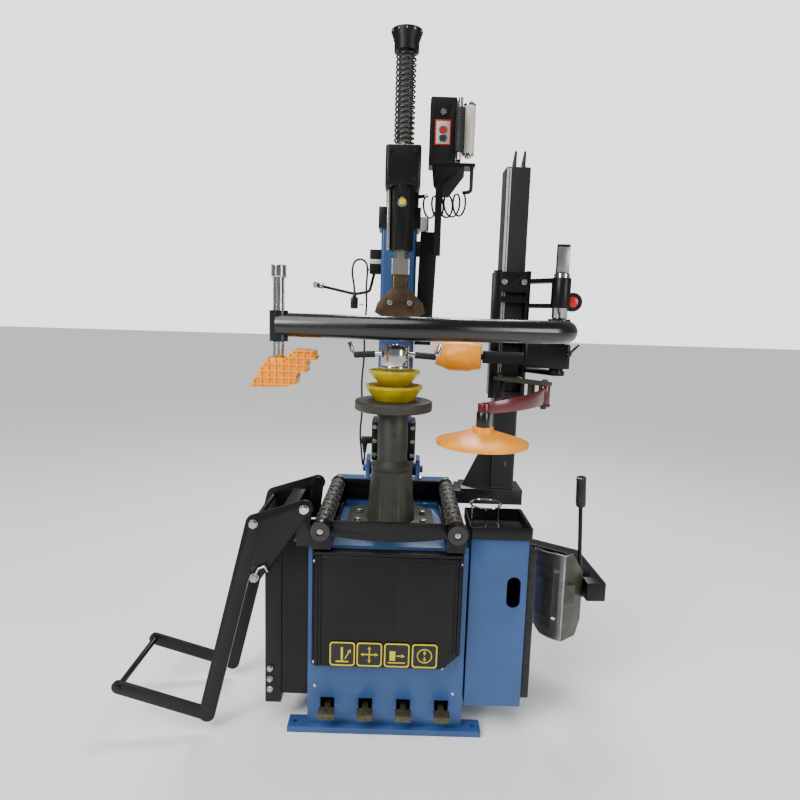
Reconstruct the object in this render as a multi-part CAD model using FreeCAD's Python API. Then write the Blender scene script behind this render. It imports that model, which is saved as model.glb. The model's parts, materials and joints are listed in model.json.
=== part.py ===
"""Centre-clamp tyre changer with a tilting column, a wheel lift and a helper post.

Millimetres. +X is the operator's right, +Y points away from the operator, +Z is up.
The origin is on the floor, in the middle of the four floor-anchor holes.
"""
import FreeCAD, Part
import math
import os

V = FreeCAD.Vector
X_AXIS, Y_AXIS, Z_AXIS = V(1, 0, 0), V(0, 1, 0), V(0, 0, 1)

# ---- driving dimensions ----
# cabinet and its floor frame
CAB_W = 448.0            # outside width
CAB_FRONT = -310.0       # front face
CAB_DEPTH = 750.0
CAB_FLOOR = 18.0         # bottom edge above the floor
CAB_TOP = 560.0          # top face
SHEET = 4.0              # sheet metal of the cabinet
BAR_LEN = CAB_W + 110.0  # foot bars
BAR_DEEP = 54.0
ANCHOR_Y = -CAB_FRONT - 5.0    # anchor rows, either side of the origin
ANCHOR_X = BAR_LEN / 2 - 21.0
ANCHOR_R = 7.0
# side tool box
BOX_GAP = 6.0            # between the cabinet and the tool box
BOX_W = 162.0
BOX_DEEP = 168.0
BOX_FLOOR = 85.0
BOX_TOP = CAB_TOP + 30.0
# turntable
TURN_Y = -110.0          # turntable axis
FLANGE_TOP = CAB_TOP + 385.0
FLANGE_R = 117.0
FLANGE_T = 30.0
PEDESTAL_R = 45.5        # straight tube of the pedestal
NUT_REACH = 140.0        # wing nut handle, from the axis
# rollers
ROLLER_X = CAB_W / 2 - 40.0
ROLLER_Z = CAB_TOP + 62.0
ROLLER_R = 25.0
ROLLER_DISC_R = 29.0
ROLLER_FRONT = -380.0
ROLLER_BACK = 110.0
# column and arm
COL_W = 122.0
COL_Y = 250.0            # column centre
COL_PIVOT_Z = CAB_TOP + 80.0
ARM_Z = 1650.0           # horizontal arm centre
ARM_W = 80.0
TOOL_X = 8.0             # vertical tool shaft axis
TOOL_Y = 40.0
SHAFT_AF = 40.0          # hexagon across flats
HEAD_TOP = ARM_Z + 56.0
CAP_TOP = HEAD_TOP + 342.0
# helper post
POST_X = CAB_W / 2 + 161.0
POST_W = 80.0
POST_FRONT = 135.0
POST_DEEP = 92.0
POST_TOP = 1690.0
HELP_X, HELP_Y = POST_X + 133.0, 20.0   # vertical pivot of the helper arms
TUBE_Z = FLANGE_TOP + 220.0
TUBE_R = 32.0
# wheel lift, in the side view seen from the front
LIFT_B = (-CAB_W / 2 - 8.0, CAB_TOP + 111.0)       # main pivot
LIFT_A = (LIFT_B[0] - 138.0, LIFT_B[1] - 45.0)
LIFT_C = (LIFT_B[0] - 136.0, LIFT_B[1] - 199.0)
LIFT_CORNER = (LIFT_B[0] - 276.0, 52.0)
LIFT_TIP = (LIFT_CORNER[0] - 252.0, LIFT_CORNER[1] + 74.0)
LIFT_FRONT, LIFT_BACK = -338.0, -78.0
LIFT_PLATE = 10.0
# bead breaker
BEAD_PIVOT = (CAB_W / 2 + 181.0, 190.0)
BEAD_Z = 393.0
# clearances
FIT = 0.05               # radial gap of a pin in its hole
GAP = 0.5                # gap between pieces that slide or swing past each other

CAB_X = CAB_W / 2
CAB_BACK = CAB_FRONT + CAB_DEPTH
BOX_X0 = CAB_X + BOX_GAP
BOX_X1 = BOX_X0 + BOX_W
BOX_BACK = CAB_FRONT + BOX_DEEP

os.makedirs("parts", exist_ok=True)


# ---- helpers ----
def block(x0, x1, y0, y1, z0, z1):
    return Part.makeBox(x1 - x0, y1 - y0, z1 - z0, V(x0, y0, z0))


def rod(r, start, axis, length):
    return Part.makeCylinder(r, length, V(*start), axis)


def ring(r_out, r_in, start, axis, length):
    return rod(r_out, start, axis, length).cut(rod(r_in, start, axis, length))


def taper(r1, r2, start, axis, length):
    return Part.makeCone(r1, r2, length, V(*start), axis)


def between(r, p, q):
    """Round bar from point p to point q."""
    p, q = V(*p), V(*q)
    return Part.makeCylinder(r, (q - p).Length, p, q - p)


def prism(points, along):
    """Straight-sided solid: a closed outline pushed along a vector."""
    pts = [V(*p) for p in points]
    return Part.Face(Part.makePolygon(pts + pts[:1])).extrude(along)


def fuse(*shapes):
    whole = shapes[0]
    for s in shapes[1:]:
        whole = whole.fuse(s)
    return whole.removeSplitter()


def soften(shape, r, axis):
    """Round every edge that runs along an axis."""
    edges = []
    for e in shape.Edges:
        if len(e.Vertexes) == 2 and isinstance(e.Curve, Part.Line):
            d = e.Vertexes[1].Point - e.Vertexes[0].Point
            if d.normalize().cross(axis).Length < 1e-6:
                edges.append(e)
    return shape.makeFillet(r, edges)


def hexagon(af, centre, z0, z1):
    """Upright hexagonal bar with its flats facing front and back."""
    r = af / math.sqrt(3)
    pts = [(centre[0] + r * math.cos(math.radians(60 * i)),
            centre[1] + r * math.sin(math.radians(60 * i)), z0) for i in range(6)]
    return prism(pts, V(0, 0, z1 - z0))


def hex_bolt(start, axis, af, head, shank_r=0.0, shank=0.0):
    """Bolt head on a washer, standing on start and pointing along axis."""
    r = af / math.sqrt(3)
    pts = [V(r * math.cos(math.radians(60 * i)), r * math.sin(math.radians(60 * i)), 0)
           for i in range(6)]
    body = Part.Face(Part.makePolygon(pts + pts[:1])).extrude(V(0, 0, head))
    body = body.translated(V(0, 0, 2)).fuse(Part.makeCylinder(af * 0.62, 2))
    if shank:
        body = body.fuse(Part.makeCylinder(shank_r, shank, V(0, 0, -shank)))
    body = body.removeSplitter()
    body.Placement = FreeCAD.Placement(V(*start), FreeCAD.Rotation(Z_AXIS, axis))
    return body


def bent_bar(points, bends, r):
    """Round bar through points, with an arc of the given radius at each inner point."""
    pts = [V(*p) for p in points]
    edges, here = [], pts[0]
    for i in range(1, len(pts) - 1):
        a = (pts[i - 1] - pts[i]).normalize()
        b = (pts[i + 1] - pts[i]).normalize()
        half = a.getAngle(b) / 2
        back = bends[i - 1] / math.tan(half)
        start, end = pts[i] + a * back, pts[i] + b * back
        centre = pts[i] + (a + b).normalize() * (bends[i - 1] / math.sin(half))
        mid = centre - (a + b).normalize() * bends[i - 1]
        edges += [Part.LineSegment(here, start).toShape(), Part.Arc(start, mid, end).toShape()]
        here = end
    edges.append(Part.LineSegment(here, pts[-1]).toShape())
    path = Part.Wire(edges)
    tangent = pts[1] - pts[0]
    profile = Part.Wire(Part.makeCircle(r, pts[0], tangent))
    return path.makePipeShell([profile], True, False)


def save(name, *shapes):
    """Write one node; several shapes stay separate solids."""
    solids = [s for shape in shapes for s in shape.Solids]
    whole = solids[0] if len(solids) == 1 else Part.makeCompound(solids)
    whole.exportStep(f"parts/{name}.step")
    print(name, len(solids), whole.isValid(), round(sum(s.Volume for s in solids) / 1000), "cm3")


# ---- floor frame ----
BAR_H = CAB_FLOOR


def foot_bar(y):
    bar = block(-BAR_LEN / 2, BAR_LEN / 2, y - BAR_DEEP / 2, y + BAR_DEEP / 2, 0, BAR_H)
    for side in (-1, 1):
        bar = bar.cut(rod(ANCHOR_R, (side * ANCHOR_X, y, -1), Z_AXIS, BAR_H + 2))
    return bar


RAIL_W = 40.0
rails = [block(x - RAIL_W / 2, x + RAIL_W / 2, -ANCHOR_Y, ANCHOR_Y, 0, BAR_H)
         for x in (-CAB_X + RAIL_W, CAB_X - RAIL_W)]
save("floor_frame", fuse(foot_bar(-ANCHOR_Y), foot_bar(ANCHOR_Y), *rails))

# ---- cabinet ----
PEDAL_PITCH = CAB_W / 4 - 2
PEDAL_X = [PEDAL_PITCH * (i - 1.5) - 1 for i in range(4)]
PEDAL_W = 46.0
WINDOW = (40.0, 50.0, 98.0)      # width, bottom, top

cabinet = block(-CAB_X, CAB_X, CAB_FRONT, CAB_BACK, CAB_FLOOR, CAB_TOP)
cabinet = cabinet.cut(block(-CAB_X + SHEET, CAB_X - SHEET, CAB_FRONT + SHEET,
                            CAB_BACK - SHEET, CAB_FLOOR - 1, CAB_TOP - SHEET))
for x in PEDAL_X:
    cabinet = cabinet.cut(block(x - WINDOW[0] / 2, x + WINDOW[0] / 2, CAB_FRONT - 1,
                                CAB_FRONT + SHEET + 1, WINDOW[1], WINDOW[2]))
PEDESTAL_HOLE_R = 80.0
cabinet = cabinet.cut(rod(PEDESTAL_HOLE_R, (0, TURN_Y, CAB_TOP - 20), Z_AXIS, 40))
# fixed axle that the pedals turn on
PEDAL_PIVOT = (-250.0, 88.0)     # y, z
PEDAL_AXLE_R = 6.0
cabinet = cabinet.fuse(rod(PEDAL_AXLE_R, (-CAB_X + 1, *PEDAL_PIVOT), X_AXIS, CAB_W - 2))
# clevis plates that carry the column
CLEVIS_IN = 84.0
CLEVIS_T = 14.0
PIN_R = 14.0
for side in (-1, 1):
    x0 = side * (CLEVIS_IN + CLEVIS_T / 2) - CLEVIS_T / 2
    ear = prism([(x0, COL_Y - 75, CAB_TOP), (x0, COL_Y + 75, CAB_TOP),
                 (x0, COL_Y + 42, COL_PIVOT_Z + 42), (x0, COL_Y - 42, COL_PIVOT_Z + 42)],
                V(CLEVIS_T, 0, 0))
    ear = ear.cut(rod(PIN_R + FIT, (x0 - 1, COL_Y, COL_PIVOT_Z), X_AXIS, CLEVIS_T + 2))
    cabinet = cabinet.fuse(ear)
# lug at the back for the tilt cylinder
CYL_FOOT = (COL_Y + 165.0, COL_PIVOT_Z - 20.0)   # y, z of the cylinder's lower pin
CYL_PIN_R = 8.0
for side in (-1, 1):
    x0 = side * 22.0 - 5.0
    ear = prism([(x0, CYL_FOOT[0] - 24, CAB_TOP), (x0, CYL_FOOT[0] + 24, CAB_TOP),
                 (x0, CYL_FOOT[0] + 18, CYL_FOOT[1] + 18), (x0, CYL_FOOT[0] - 18, CYL_FOOT[1] + 18)],
                V(10, 0, 0))
    ear = ear.cut(rod(CYL_PIN_R + FIT, (x0 - 1, CYL_FOOT[0], CYL_FOOT[1]), X_AXIS, 12))
    cabinet = cabinet.fuse(ear)
# air inlet boss on the back
INLET = (-150.0, 420.0)          # x, z
INLET_R = 6.5
INLET_LEN = 26.0
cabinet = cabinet.fuse(rod(15, (INLET[0], CAB_BACK - SHEET, INLET[1]), Y_AXIS, INLET_LEN))
cabinet = cabinet.cut(rod(INLET_R, (INLET[0], CAB_BACK - SHEET - 1, INLET[1]), Y_AXIS,
                          INLET_LEN + 2))
# bracket of the bead breaker arm, on the right side
BEAD_PIN_R = 14.0
BRACKET_T = 14.0
BEAD_ARM_Z = (BEAD_Z - 28, BEAD_Z + 28)
for z in (BEAD_ARM_Z[0] - GAP - BRACKET_T, BEAD_ARM_Z[1] + GAP):
    leaf = prism([(CAB_X, BEAD_PIVOT[1] - 60, z), (BEAD_PIVOT[0], BEAD_PIVOT[1] - 30, z),
                  (BEAD_PIVOT[0], BEAD_PIVOT[1] + 30, z), (CAB_X, BEAD_PIVOT[1] + 60, z)],
                 V(0, 0, BRACKET_T))
    leaf = leaf.fuse(rod(30, (BEAD_PIVOT[0], BEAD_PIVOT[1], z), Z_AXIS, BRACKET_T))
    leaf = leaf.cut(rod(BEAD_PIN_R + FIT, (BEAD_PIVOT[0], BEAD_PIVOT[1], z - 1), Z_AXIS,
                        BRACKET_T + 2))
    cabinet = cabinet.fuse(leaf)
save("cabinet", cabinet.removeSplitter())

# ---- front cover: a bulged moulding with ribs at its sides ----
COVER_X0, COVER_X1 = -CAB_X + 10.0, CAB_X - 12.0
COVER_Z0, COVER_Z1 = 200.0, CAB_TOP - 8.0
COVER_DEEP = 30.0
COVER_WALL = 5.0
CHAMFER = 42.0


def cover_outline(inset, depth):
    x0, x1 = COVER_X0 + inset, COVER_X1 - inset
    z0, z1 = COVER_Z0 + inset, COVER_Z1 - inset
    return [(x0, depth, z0), (x1 - CHAMFER, depth, z0), (x1, depth, z0 + CHAMFER),
            (x1, depth, z1), (x0, depth, z1)]


def cover_form(inset, back, front):
    wires = []
    for grow, depth in ((0.0, back), (14.0, front)):
        pts = [V(*p) for p in cover_outline(inset + grow, depth)]
        wires.append(Part.makePolygon(pts + pts[:1]))
    return Part.makeLoft(wires, True, True)


cover = cover_form(0, CAB_FRONT, CAB_FRONT - COVER_DEEP)
cover = cover.cut(cover_form(COVER_WALL, CAB_FRONT, CAB_FRONT - COVER_DEEP + COVER_WALL))
save("front_cover", cover)

# ---- side tool box, tray and pads ----
box = block(BOX_X0, BOX_X1, CAB_FRONT, BOX_BACK, BOX_FLOOR, BOX_TOP)
box = box.cut(block(BOX_X0 + SHEET, BOX_X1 - SHEET, CAB_FRONT + SHEET, BOX_BACK - SHEET,
                    BOX_FLOOR + SHEET, BOX_TOP - SHEET))
OVAL = (BOX_X1 - 37.0, BOX_TOP - 156.0, 19.0, 26.0)   # x, z, half width, straight half height
oval = fuse(block(OVAL[0] - OVAL[2], OVAL[0] + OVAL[2], CAB_FRONT - 1, CAB_FRONT + SHEET + 1,
                  OVAL[1] - OVAL[3], OVAL[1] + OVAL[3]),
            *[rod(OVAL[2], (OVAL[0], CAB_FRONT - 1, OVAL[1] + s * OVAL[3]), Y_AXIS, SHEET + 2)
              for s in (-1, 1)])
box = box.cut(oval)
# two flanges that bolt the box to the cabinet
for z in (BOX_FLOOR + 60, BOX_TOP - 90):
    box = box.fuse(block(CAB_X, BOX_X0, CAB_FRONT + 30, BOX_BACK - 30, z, z + 40))
save("tool_box", box.removeSplitter())

TRAY_WALL = 4.0
TRAY_H = 34.0
TRAY_LIP = 8.0
tray = block(BOX_X0 - TRAY_LIP + 3, BOX_X1 + TRAY_LIP, CAB_FRONT - 6, BOX_BACK + 6,
             BOX_TOP, BOX_TOP + TRAY_H)
tray = soften(tray, 8, Z_AXIS)
tray = tray.cut(block(BOX_X0, BOX_X1 - 2, CAB_FRONT, BOX_BACK, BOX_TOP + TRAY_WALL,
                      BOX_TOP + TRAY_H + 1))
save("tool_tray", tray)

PAD_T = 26.0
PAD_Z = (BOX_FLOOR + 21.0, BOX_TOP - 44.0)
pads = [soften(block(BOX_X1, BOX_X1 + PAD_T, y0, y0 + 44, PAD_Z[0], PAD_Z[1]), 6, Z_AXIS)
        for y0 in (CAB_FRONT + 12, CAB_FRONT + 62, CAB_FRONT + 112)]
save("bead_pads", *pads)

# ---- roller table ----
AXLE_R = 8.0
LUG_T = 10.0
LUG_Y = (-345.0, 84.0)
RAIL_TOP = ROLLER_Z + 18.0
RAIL_LOW = CAB_TOP + 26.0        # middle of the front plate's bowed lower edge
RAIL_BOW = 14.0                  # rise of that edge from the middle to its ends
RAIL_HALF = ROLLER_X - 20.0
bow_r = (RAIL_HALF ** 2 + RAIL_BOW ** 2) / (2 * RAIL_BOW)
rail_parts = []
for i, lug_y in enumerate(LUG_Y):
    plate = block(-RAIL_HALF, RAIL_HALF, lug_y, lug_y + LUG_T, CAB_TOP + 14, RAIL_TOP)
    if i == 0:
        plate = plate.common(rod(bow_r, (0, lug_y - 1, RAIL_LOW + bow_r), Y_AXIS, LUG_T + 2))
    for side in (-1, 1):
        lug = block(side * ROLLER_X - 26, side * ROLLER_X + 26, lug_y, lug_y + LUG_T,
                    CAB_TOP, ROLLER_Z)
        lug = lug.fuse(rod(26, (side * ROLLER_X, lug_y, ROLLER_Z), Y_AXIS, LUG_T))
        plate = plate.fuse(lug)
    for side in (-1, 1):
        plate = plate.cut(rod(AXLE_R + FIT, (side * ROLLER_X, lug_y - 1, ROLLER_Z), Y_AXIS,
                              LUG_T + 2))
    rail_parts.append(plate)
SILL_T = 12.0
sills = [block(side * ROLLER_X - 26, side * ROLLER_X + 26, LUG_Y[0], LUG_Y[1] + LUG_T,
               CAB_TOP, CAB_TOP + SILL_T) for side in (-1, 1)]
# ears that carry the wheel lift's pivot pins
LIFT_PIN_R = 9.0
EAR_T = 12.0
for near, away in ((LIFT_FRONT + LIFT_PLATE + GAP, 1), (LIFT_BACK - GAP - EAR_T, -1)):
    ear = prism([(-CAB_X - 32, near, CAB_TOP), (-ROLLER_X + 26, near, CAB_TOP),
                 (-ROLLER_X + 26, near, CAB_TOP + SILL_T), (-CAB_X + 4, near, CAB_TOP + 40),
                 (LIFT_B[0] + 20, near, LIFT_B[1]), (LIFT_B[0] - 20, near, LIFT_B[1])],
                V(0, EAR_T, 0))
    ear = ear.fuse(rod(20, (LIFT_B[0], near, LIFT_B[1]), Y_AXIS, EAR_T))
    ear = ear.cut(rod(LIFT_PIN_R + FIT, (LIFT_B[0], near - 1, LIFT_B[1]), Y_AXIS, EAR_T + 2))
    rail_parts.append(ear)
save("roller_table", fuse(*rail_parts, *sills))

RING_PITCH = 24.0


def wheel_roller(x):
    tube_y0, tube_y1 = LUG_Y[0] + LUG_T + 3, LUG_Y[1] - 3
    roller = rod(AXLE_R, (x, ROLLER_FRONT, ROLLER_Z), Y_AXIS, ROLLER_BACK - ROLLER_FRONT)
    roller = roller.fuse(rod(ROLLER_R - 4, (x, tube_y0, ROLLER_Z), Y_AXIS, tube_y1 - tube_y0))
    for i in range(int((tube_y1 - tube_y0) // RING_PITCH)):
        roller = roller.fuse(rod(ROLLER_R, (x, tube_y0 + i * RING_PITCH, ROLLER_Z), Y_AXIS,
                                 RING_PITCH * 0.55))
    roller = roller.fuse(rod(ROLLER_DISC_R, (x, ROLLER_FRONT, ROLLER_Z), Y_AXIS,
                             LUG_Y[0] - 3 - ROLLER_FRONT))
    back = LUG_Y[1] + LUG_T + 3
    return fuse(roller, rod(ROLLER_R, (x, back, ROLLER_Z), Y_AXIS, ROLLER_BACK - back))


save("left_roller", wheel_roller(-ROLLER_X))
save("right_roller", wheel_roller(ROLLER_X))

# ---- pedestal, gearbox and drive ----
PLATE_T = 16.0
PLATE_Z = CAB_TOP
PLATE_HALF = 132.0
CUT = 50.0
outline = []
for sx, sy in ((1, 1), (-1, 1), (-1, -1), (1, -1)):
    corner = [(sx * PLATE_HALF, TURN_Y + sy * (PLATE_HALF - CUT), PLATE_Z),
              (sx * (PLATE_HALF - CUT), TURN_Y + sy * PLATE_HALF, PLATE_Z)]
    outline += corner if sx * sy > 0 else corner[::-1]
SHAFT_R = 17.0
CONE_TOP = FLANGE_TOP - 200.0
FLANGE_BOTTOM = FLANGE_TOP - FLANGE_T
pedestal = fuse(prism(outline, V(0, 0, PLATE_T)),
                taper(74, 60.5, (0, TURN_Y, PLATE_Z + PLATE_T), Z_AXIS,
                      CONE_TOP - PLATE_Z - PLATE_T),
                taper(60.5, PEDESTAL_R, (0, TURN_Y, CONE_TOP), Z_AXIS, 16),
                rod(PEDESTAL_R, (0, TURN_Y, CONE_TOP + 10), Z_AXIS,
                    FLANGE_BOTTOM - 1 - CONE_TOP - 10))
pedestal = pedestal.cut(rod(SHAFT_R + FIT, (0, TURN_Y, PLATE_Z - 1), Z_AXIS, 400))
save("pedestal", pedestal)

BOLT_RING = 108.0
plate_bolts = [hex_bolt((BOLT_RING * math.cos(math.radians(a)),
                         TURN_Y + BOLT_RING * math.sin(math.radians(a)), PLATE_Z + PLATE_T),
                        Z_AXIS, 19, 9) for a in (22.5, 67.5, 112.5, 157.5, 202.5, 247.5, 292.5, 337.5)]
save("plate_bolts", *plate_bolts)

GEAR_Z0 = PLATE_Z - 180.0
WORM_Y = TURN_Y + 70.0
WORM_Z = GEAR_Z0 + 50.0
WORM_R = 10.0
gearbox = fuse(rod(76, (0, TURN_Y, GEAR_Z0), Z_AXIS, PLATE_Z - GEAR_Z0),
               block(-70, 70, WORM_Y - 30, WORM_Y + 34, WORM_Z - 34, WORM_Z + 34))
gearbox = gearbox.cut(rod(SHAFT_R + FIT, (0, TURN_Y, GEAR_Z0 + 20), Z_AXIS, PLATE_Z))
gearbox = gearbox.cut(rod(WORM_R + FIT, (30, WORM_Y, WORM_Z), X_AXIS, 60))
save("gearbox", gearbox)

MOTOR_Z = 200.0
MOTOR_Y = WORM_Y + 30.0
MOTOR_R = 70.0
MOTOR_SHAFT_R = 9.5
motor = fuse(rod(MOTOR_R, (-150, MOTOR_Y, MOTOR_Z), X_AXIS, 200),
             block(-130, 20, MOTOR_Y - 50, MOTOR_Y + 50, CAB_FLOOR + 30, MOTOR_Z))
for i in range(8):
    motor = motor.fuse(ring(MOTOR_R + 6, MOTOR_R - 4, (-120 + 18 * i, MOTOR_Y, MOTOR_Z),
                            X_AXIS, 5))
shelf = block(-CAB_X + SHEET, CAB_X - SHEET, MOTOR_Y - 80, MOTOR_Y + 80, CAB_FLOOR + 22,
              CAB_FLOOR + 30)
motor = fuse(motor, shelf)
motor = motor.cut(rod(MOTOR_SHAFT_R + FIT, (0, MOTOR_Y, MOTOR_Z), X_AXIS, 60))
save("motor", motor)

PULLEY_X = 100.0
PULLEY_W = 22.0
PULLEY_SMALL, PULLEY_BIG = 32.0, 64.0
BELT_T = 6.0


def pulley(r, y0, z0, shaft_r, shaft_x):
    wheel = rod(r + 5, (PULLEY_X, y0, z0), X_AXIS, PULLEY_W)
    groove = ring(r + 6, r, (PULLEY_X + 5, y0, z0), X_AXIS, PULLEY_W - 10)
    return fuse(wheel.cut(groove), rod(shaft_r, (shaft_x, y0, z0), X_AXIS, PULLEY_X - shaft_x))


save("motor_pulley", pulley(PULLEY_SMALL, MOTOR_Y, MOTOR_Z, MOTOR_SHAFT_R, 10))
save("worm_pulley", pulley(PULLEY_BIG, WORM_Y, WORM_Z, WORM_R, 35))


def belt_outline(extra, x):
    """Open belt round both pulleys: two arcs and two straight runs."""
    low, high = V(x, MOTOR_Y, MOTOR_Z), V(x, WORM_Y, WORM_Z)
    r1, r2 = PULLEY_SMALL + extra, PULLEY_BIG + extra
    line = high - low
    along = math.atan2(line.z, line.y)
    lean = math.asin((r2 - r1) / line.Length)

    def spot(centre, r, angle):
        return centre + V(0, r * math.cos(angle), r * math.sin(angle))
    a, b = along + math.pi / 2 + lean, along - math.pi / 2 - lean
    edges = [Part.Arc(spot(low, r1, a), spot(low, r1, along + math.pi), spot(low, r1, b)).toShape(),
             Part.LineSegment(spot(low, r1, b), spot(high, r2, b)).toShape(),
             Part.Arc(spot(high, r2, b), spot(high, r2, along), spot(high, r2, a)).toShape(),
             Part.LineSegment(spot(high, r2, a), spot(low, r1, a)).toShape()]
    return Part.Face(Part.Wire(edges))


BELT_W = PULLEY_W - 12.0
belt_x = PULLEY_X + 6
belt = belt_outline(0.4 + BELT_T, belt_x).extrude(V(BELT_W, 0, 0))
save("drive_belt", belt.cut(belt_outline(0.4, belt_x).extrude(V(BELT_W, 0, 0))))

# ---- turntable, cups and wing nut ----
CLAMP_R = 14.0
CLAMP_TOP = FLANGE_TOP + 153.0
flange = rod(FLANGE_R, (0, TURN_Y, FLANGE_BOTTOM), Z_AXIS, FLANGE_T)
rim = [e for e in flange.Edges if isinstance(e.Curve, Part.Circle)]
flange = flange.makeFillet(5, rim)
for a in (-45, 135):
    flange = flange.cut(rod(9, (82 * math.cos(math.radians(a)), TURN_Y + 82 * math.sin(math.radians(a)),
                                FLANGE_BOTTOM - 1), Z_AXIS, FLANGE_T + 2))
flange = fuse(flange, rod(SHAFT_R, (0, TURN_Y, GEAR_Z0 + 25), Z_AXIS, FLANGE_BOTTOM - GEAR_Z0 - 25),
              rod(CLAMP_R, (0, TURN_Y, FLANGE_TOP), Z_AXIS, CLAMP_TOP - FLANGE_TOP))
save("turntable", flange)


def cup(z0, r0, r1, height, wall):
    """Centring cone that opens upwards, bored for the clamping shaft."""
    body = taper(r0, r1, (0, TURN_Y, z0), Z_AXIS, height - 8)
    body = body.fuse(rod(r1, (0, TURN_Y, z0 + height - 8), Z_AXIS, 8))
    hollow = taper(r0 - wall, r1 - wall, (0, TURN_Y, z0 + 14), Z_AXIS, height - 14)
    hollow = hollow.fuse(rod(r1 - wall, (0, TURN_Y, z0 + height - 0.5), Z_AXIS, 2))
    body = body.cut(hollow).cut(rod(CLAMP_R + FIT, (0, TURN_Y, z0 - 1), Z_AXIS, height + 2))
    return body.removeSplitter()


LOWER_CUP_H = 46.0
UPPER_CUP_H = 45.0
lower_cup = cup(FLANGE_TOP, 58, 86, LOWER_CUP_H, 9)
spacer_z = FLANGE_TOP + 14
upper_z = FLANGE_TOP + LOWER_CUP_H
spacer = ring(30, CLAMP_R + FIT, (0, TURN_Y, spacer_z), Z_AXIS, upper_z - spacer_z)
save("centring_cups", fuse(lower_cup, spacer, cup(upper_z, 42, 77, UPPER_CUP_H, 9)))

NUT_Z0 = upper_z + 14 + GAP
NUT_TOP = CLAMP_TOP + 14.0
NUT_R = 42.0
HANDLE_R = 7.5
nut = fuse(rod(26, (0, TURN_Y, NUT_Z0), Z_AXIS, UPPER_CUP_H - 10),
           rod(NUT_R, (0, TURN_Y, NUT_Z0 + UPPER_CUP_H - 10), Z_AXIS,
               NUT_TOP - NUT_Z0 - UPPER_CUP_H + 10))
nut = nut.cut(rod(CLAMP_R + FIT, (0, TURN_Y, NUT_Z0 - 1), Z_AXIS, CLAMP_TOP + 22 - NUT_Z0))
handle_z = CLAMP_TOP - 14.0
for side in (-1, 1):
    nut = nut.fuse(bent_bar([(side * 30, TURN_Y, handle_z), (side * (NUT_REACH - 14), TURN_Y, handle_z - 6),
                             (side * (NUT_REACH - 2), TURN_Y, handle_z + 32)], [12], HANDLE_R))
save("wing_nut", nut.removeSplitter())

# ---- pedals ----
PEDAL_FRONT = -352.0


def pedal(x):
    """Pressed-steel treadle: lever, down-turned nose and a tube on the axle."""
    w = WINDOW[0] / 2 - 3
    lever = prism([(x - w, PEDAL_FRONT + 4, 84), (x - w, PEDAL_PIVOT[0], 92),
                   (x - w, PEDAL_PIVOT[0], 84), (x - w, PEDAL_FRONT + 4, 76)], V(2 * w, 0, 0))
    tread = prism([(x - PEDAL_W / 2, PEDAL_FRONT, 84), (x - PEDAL_W / 2, CAB_FRONT - 6, 88),
                   (x - PEDAL_W / 2, CAB_FRONT - 6, 82), (x - PEDAL_W / 2, PEDAL_FRONT + 5, 78),
                   (x - PEDAL_W / 2, PEDAL_FRONT + 5, 46), (x - PEDAL_W / 2, PEDAL_FRONT, 46)],
                  V(PEDAL_W, 0, 0))
    hub = rod(14, (x - w, *PEDAL_PIVOT), X_AXIS, 2 * w)
    body = fuse(lever, tread, hub)
    return body.cut(rod(PEDAL_AXLE_R + FIT, (x - w - 1, *PEDAL_PIVOT), X_AXIS, 2 * w + 2))


for i, x in enumerate(PEDAL_X):
    save(f"pedal_{i + 1}", pedal(x))

# ---- column, boot and arm ----
COL_BOTTOM = COL_PIVOT_Z - 44.0
COL_TOP = ARM_Z - 90.0
COL_WALL = 6.0
half = COL_W / 2
column = soften(block(-half, half, COL_Y - half, COL_Y + half, COL_BOTTOM, COL_TOP), 10, Z_AXIS)
column = column.cut(block(-half + COL_WALL, half - COL_WALL, COL_Y - half + COL_WALL,
                          COL_Y + half - COL_WALL, COL_BOTTOM + 110, COL_TOP + 1))
pin_end = CLEVIS_IN + CLEVIS_T + 12
column = column.fuse(rod(PIN_R, (-pin_end, COL_Y, COL_PIVOT_Z), X_AXIS, 2 * pin_end))
column = column.fuse(rod(PIN_R + 12, (-CLEVIS_IN + GAP, COL_Y, COL_PIVOT_Z), X_AXIS,
                         2 * (CLEVIS_IN - GAP)))
# ears at the back for the tilt cylinder's rod
ROD_EYE = (COL_Y + half + 26, COL_PIVOT_Z + 260.0)   # y, z
EYE_SLACK = 4.0
for side in (-1, 1):
    x0 = side * 19.0 - 5.0
    ear = prism([(x0, COL_Y + half - 1, ROD_EYE[1] - 40), (x0, ROD_EYE[0] + 16, ROD_EYE[1] - 16),
                 (x0, ROD_EYE[0] + 16, ROD_EYE[1] + 16), (x0, COL_Y + half - 1, ROD_EYE[1] + 40)],
                V(10, 0, 0))
    column = column.fuse(ear)
column = column.fuse(rod(CYL_PIN_R, (-24, ROD_EYE[0], ROD_EYE[1]), X_AXIS, 48))
save("column", column.removeSplitter())

BOOT_HALF = half + 17.0
BOOT_Z = (COL_PIVOT_Z + 46.0, COL_PIVOT_Z + 186.0)
boot = block(-BOOT_HALF, BOOT_HALF, COL_Y - half - 18, COL_Y + half - 20, BOOT_Z[0], BOOT_Z[1])
boot = soften(boot, 12, Z_AXIS)
boot = boot.cut(block(-half, half, COL_Y - half, COL_Y + half, BOOT_Z[0] - 1, BOOT_Z[1] + 1))
save("column_boot", boot)

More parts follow.
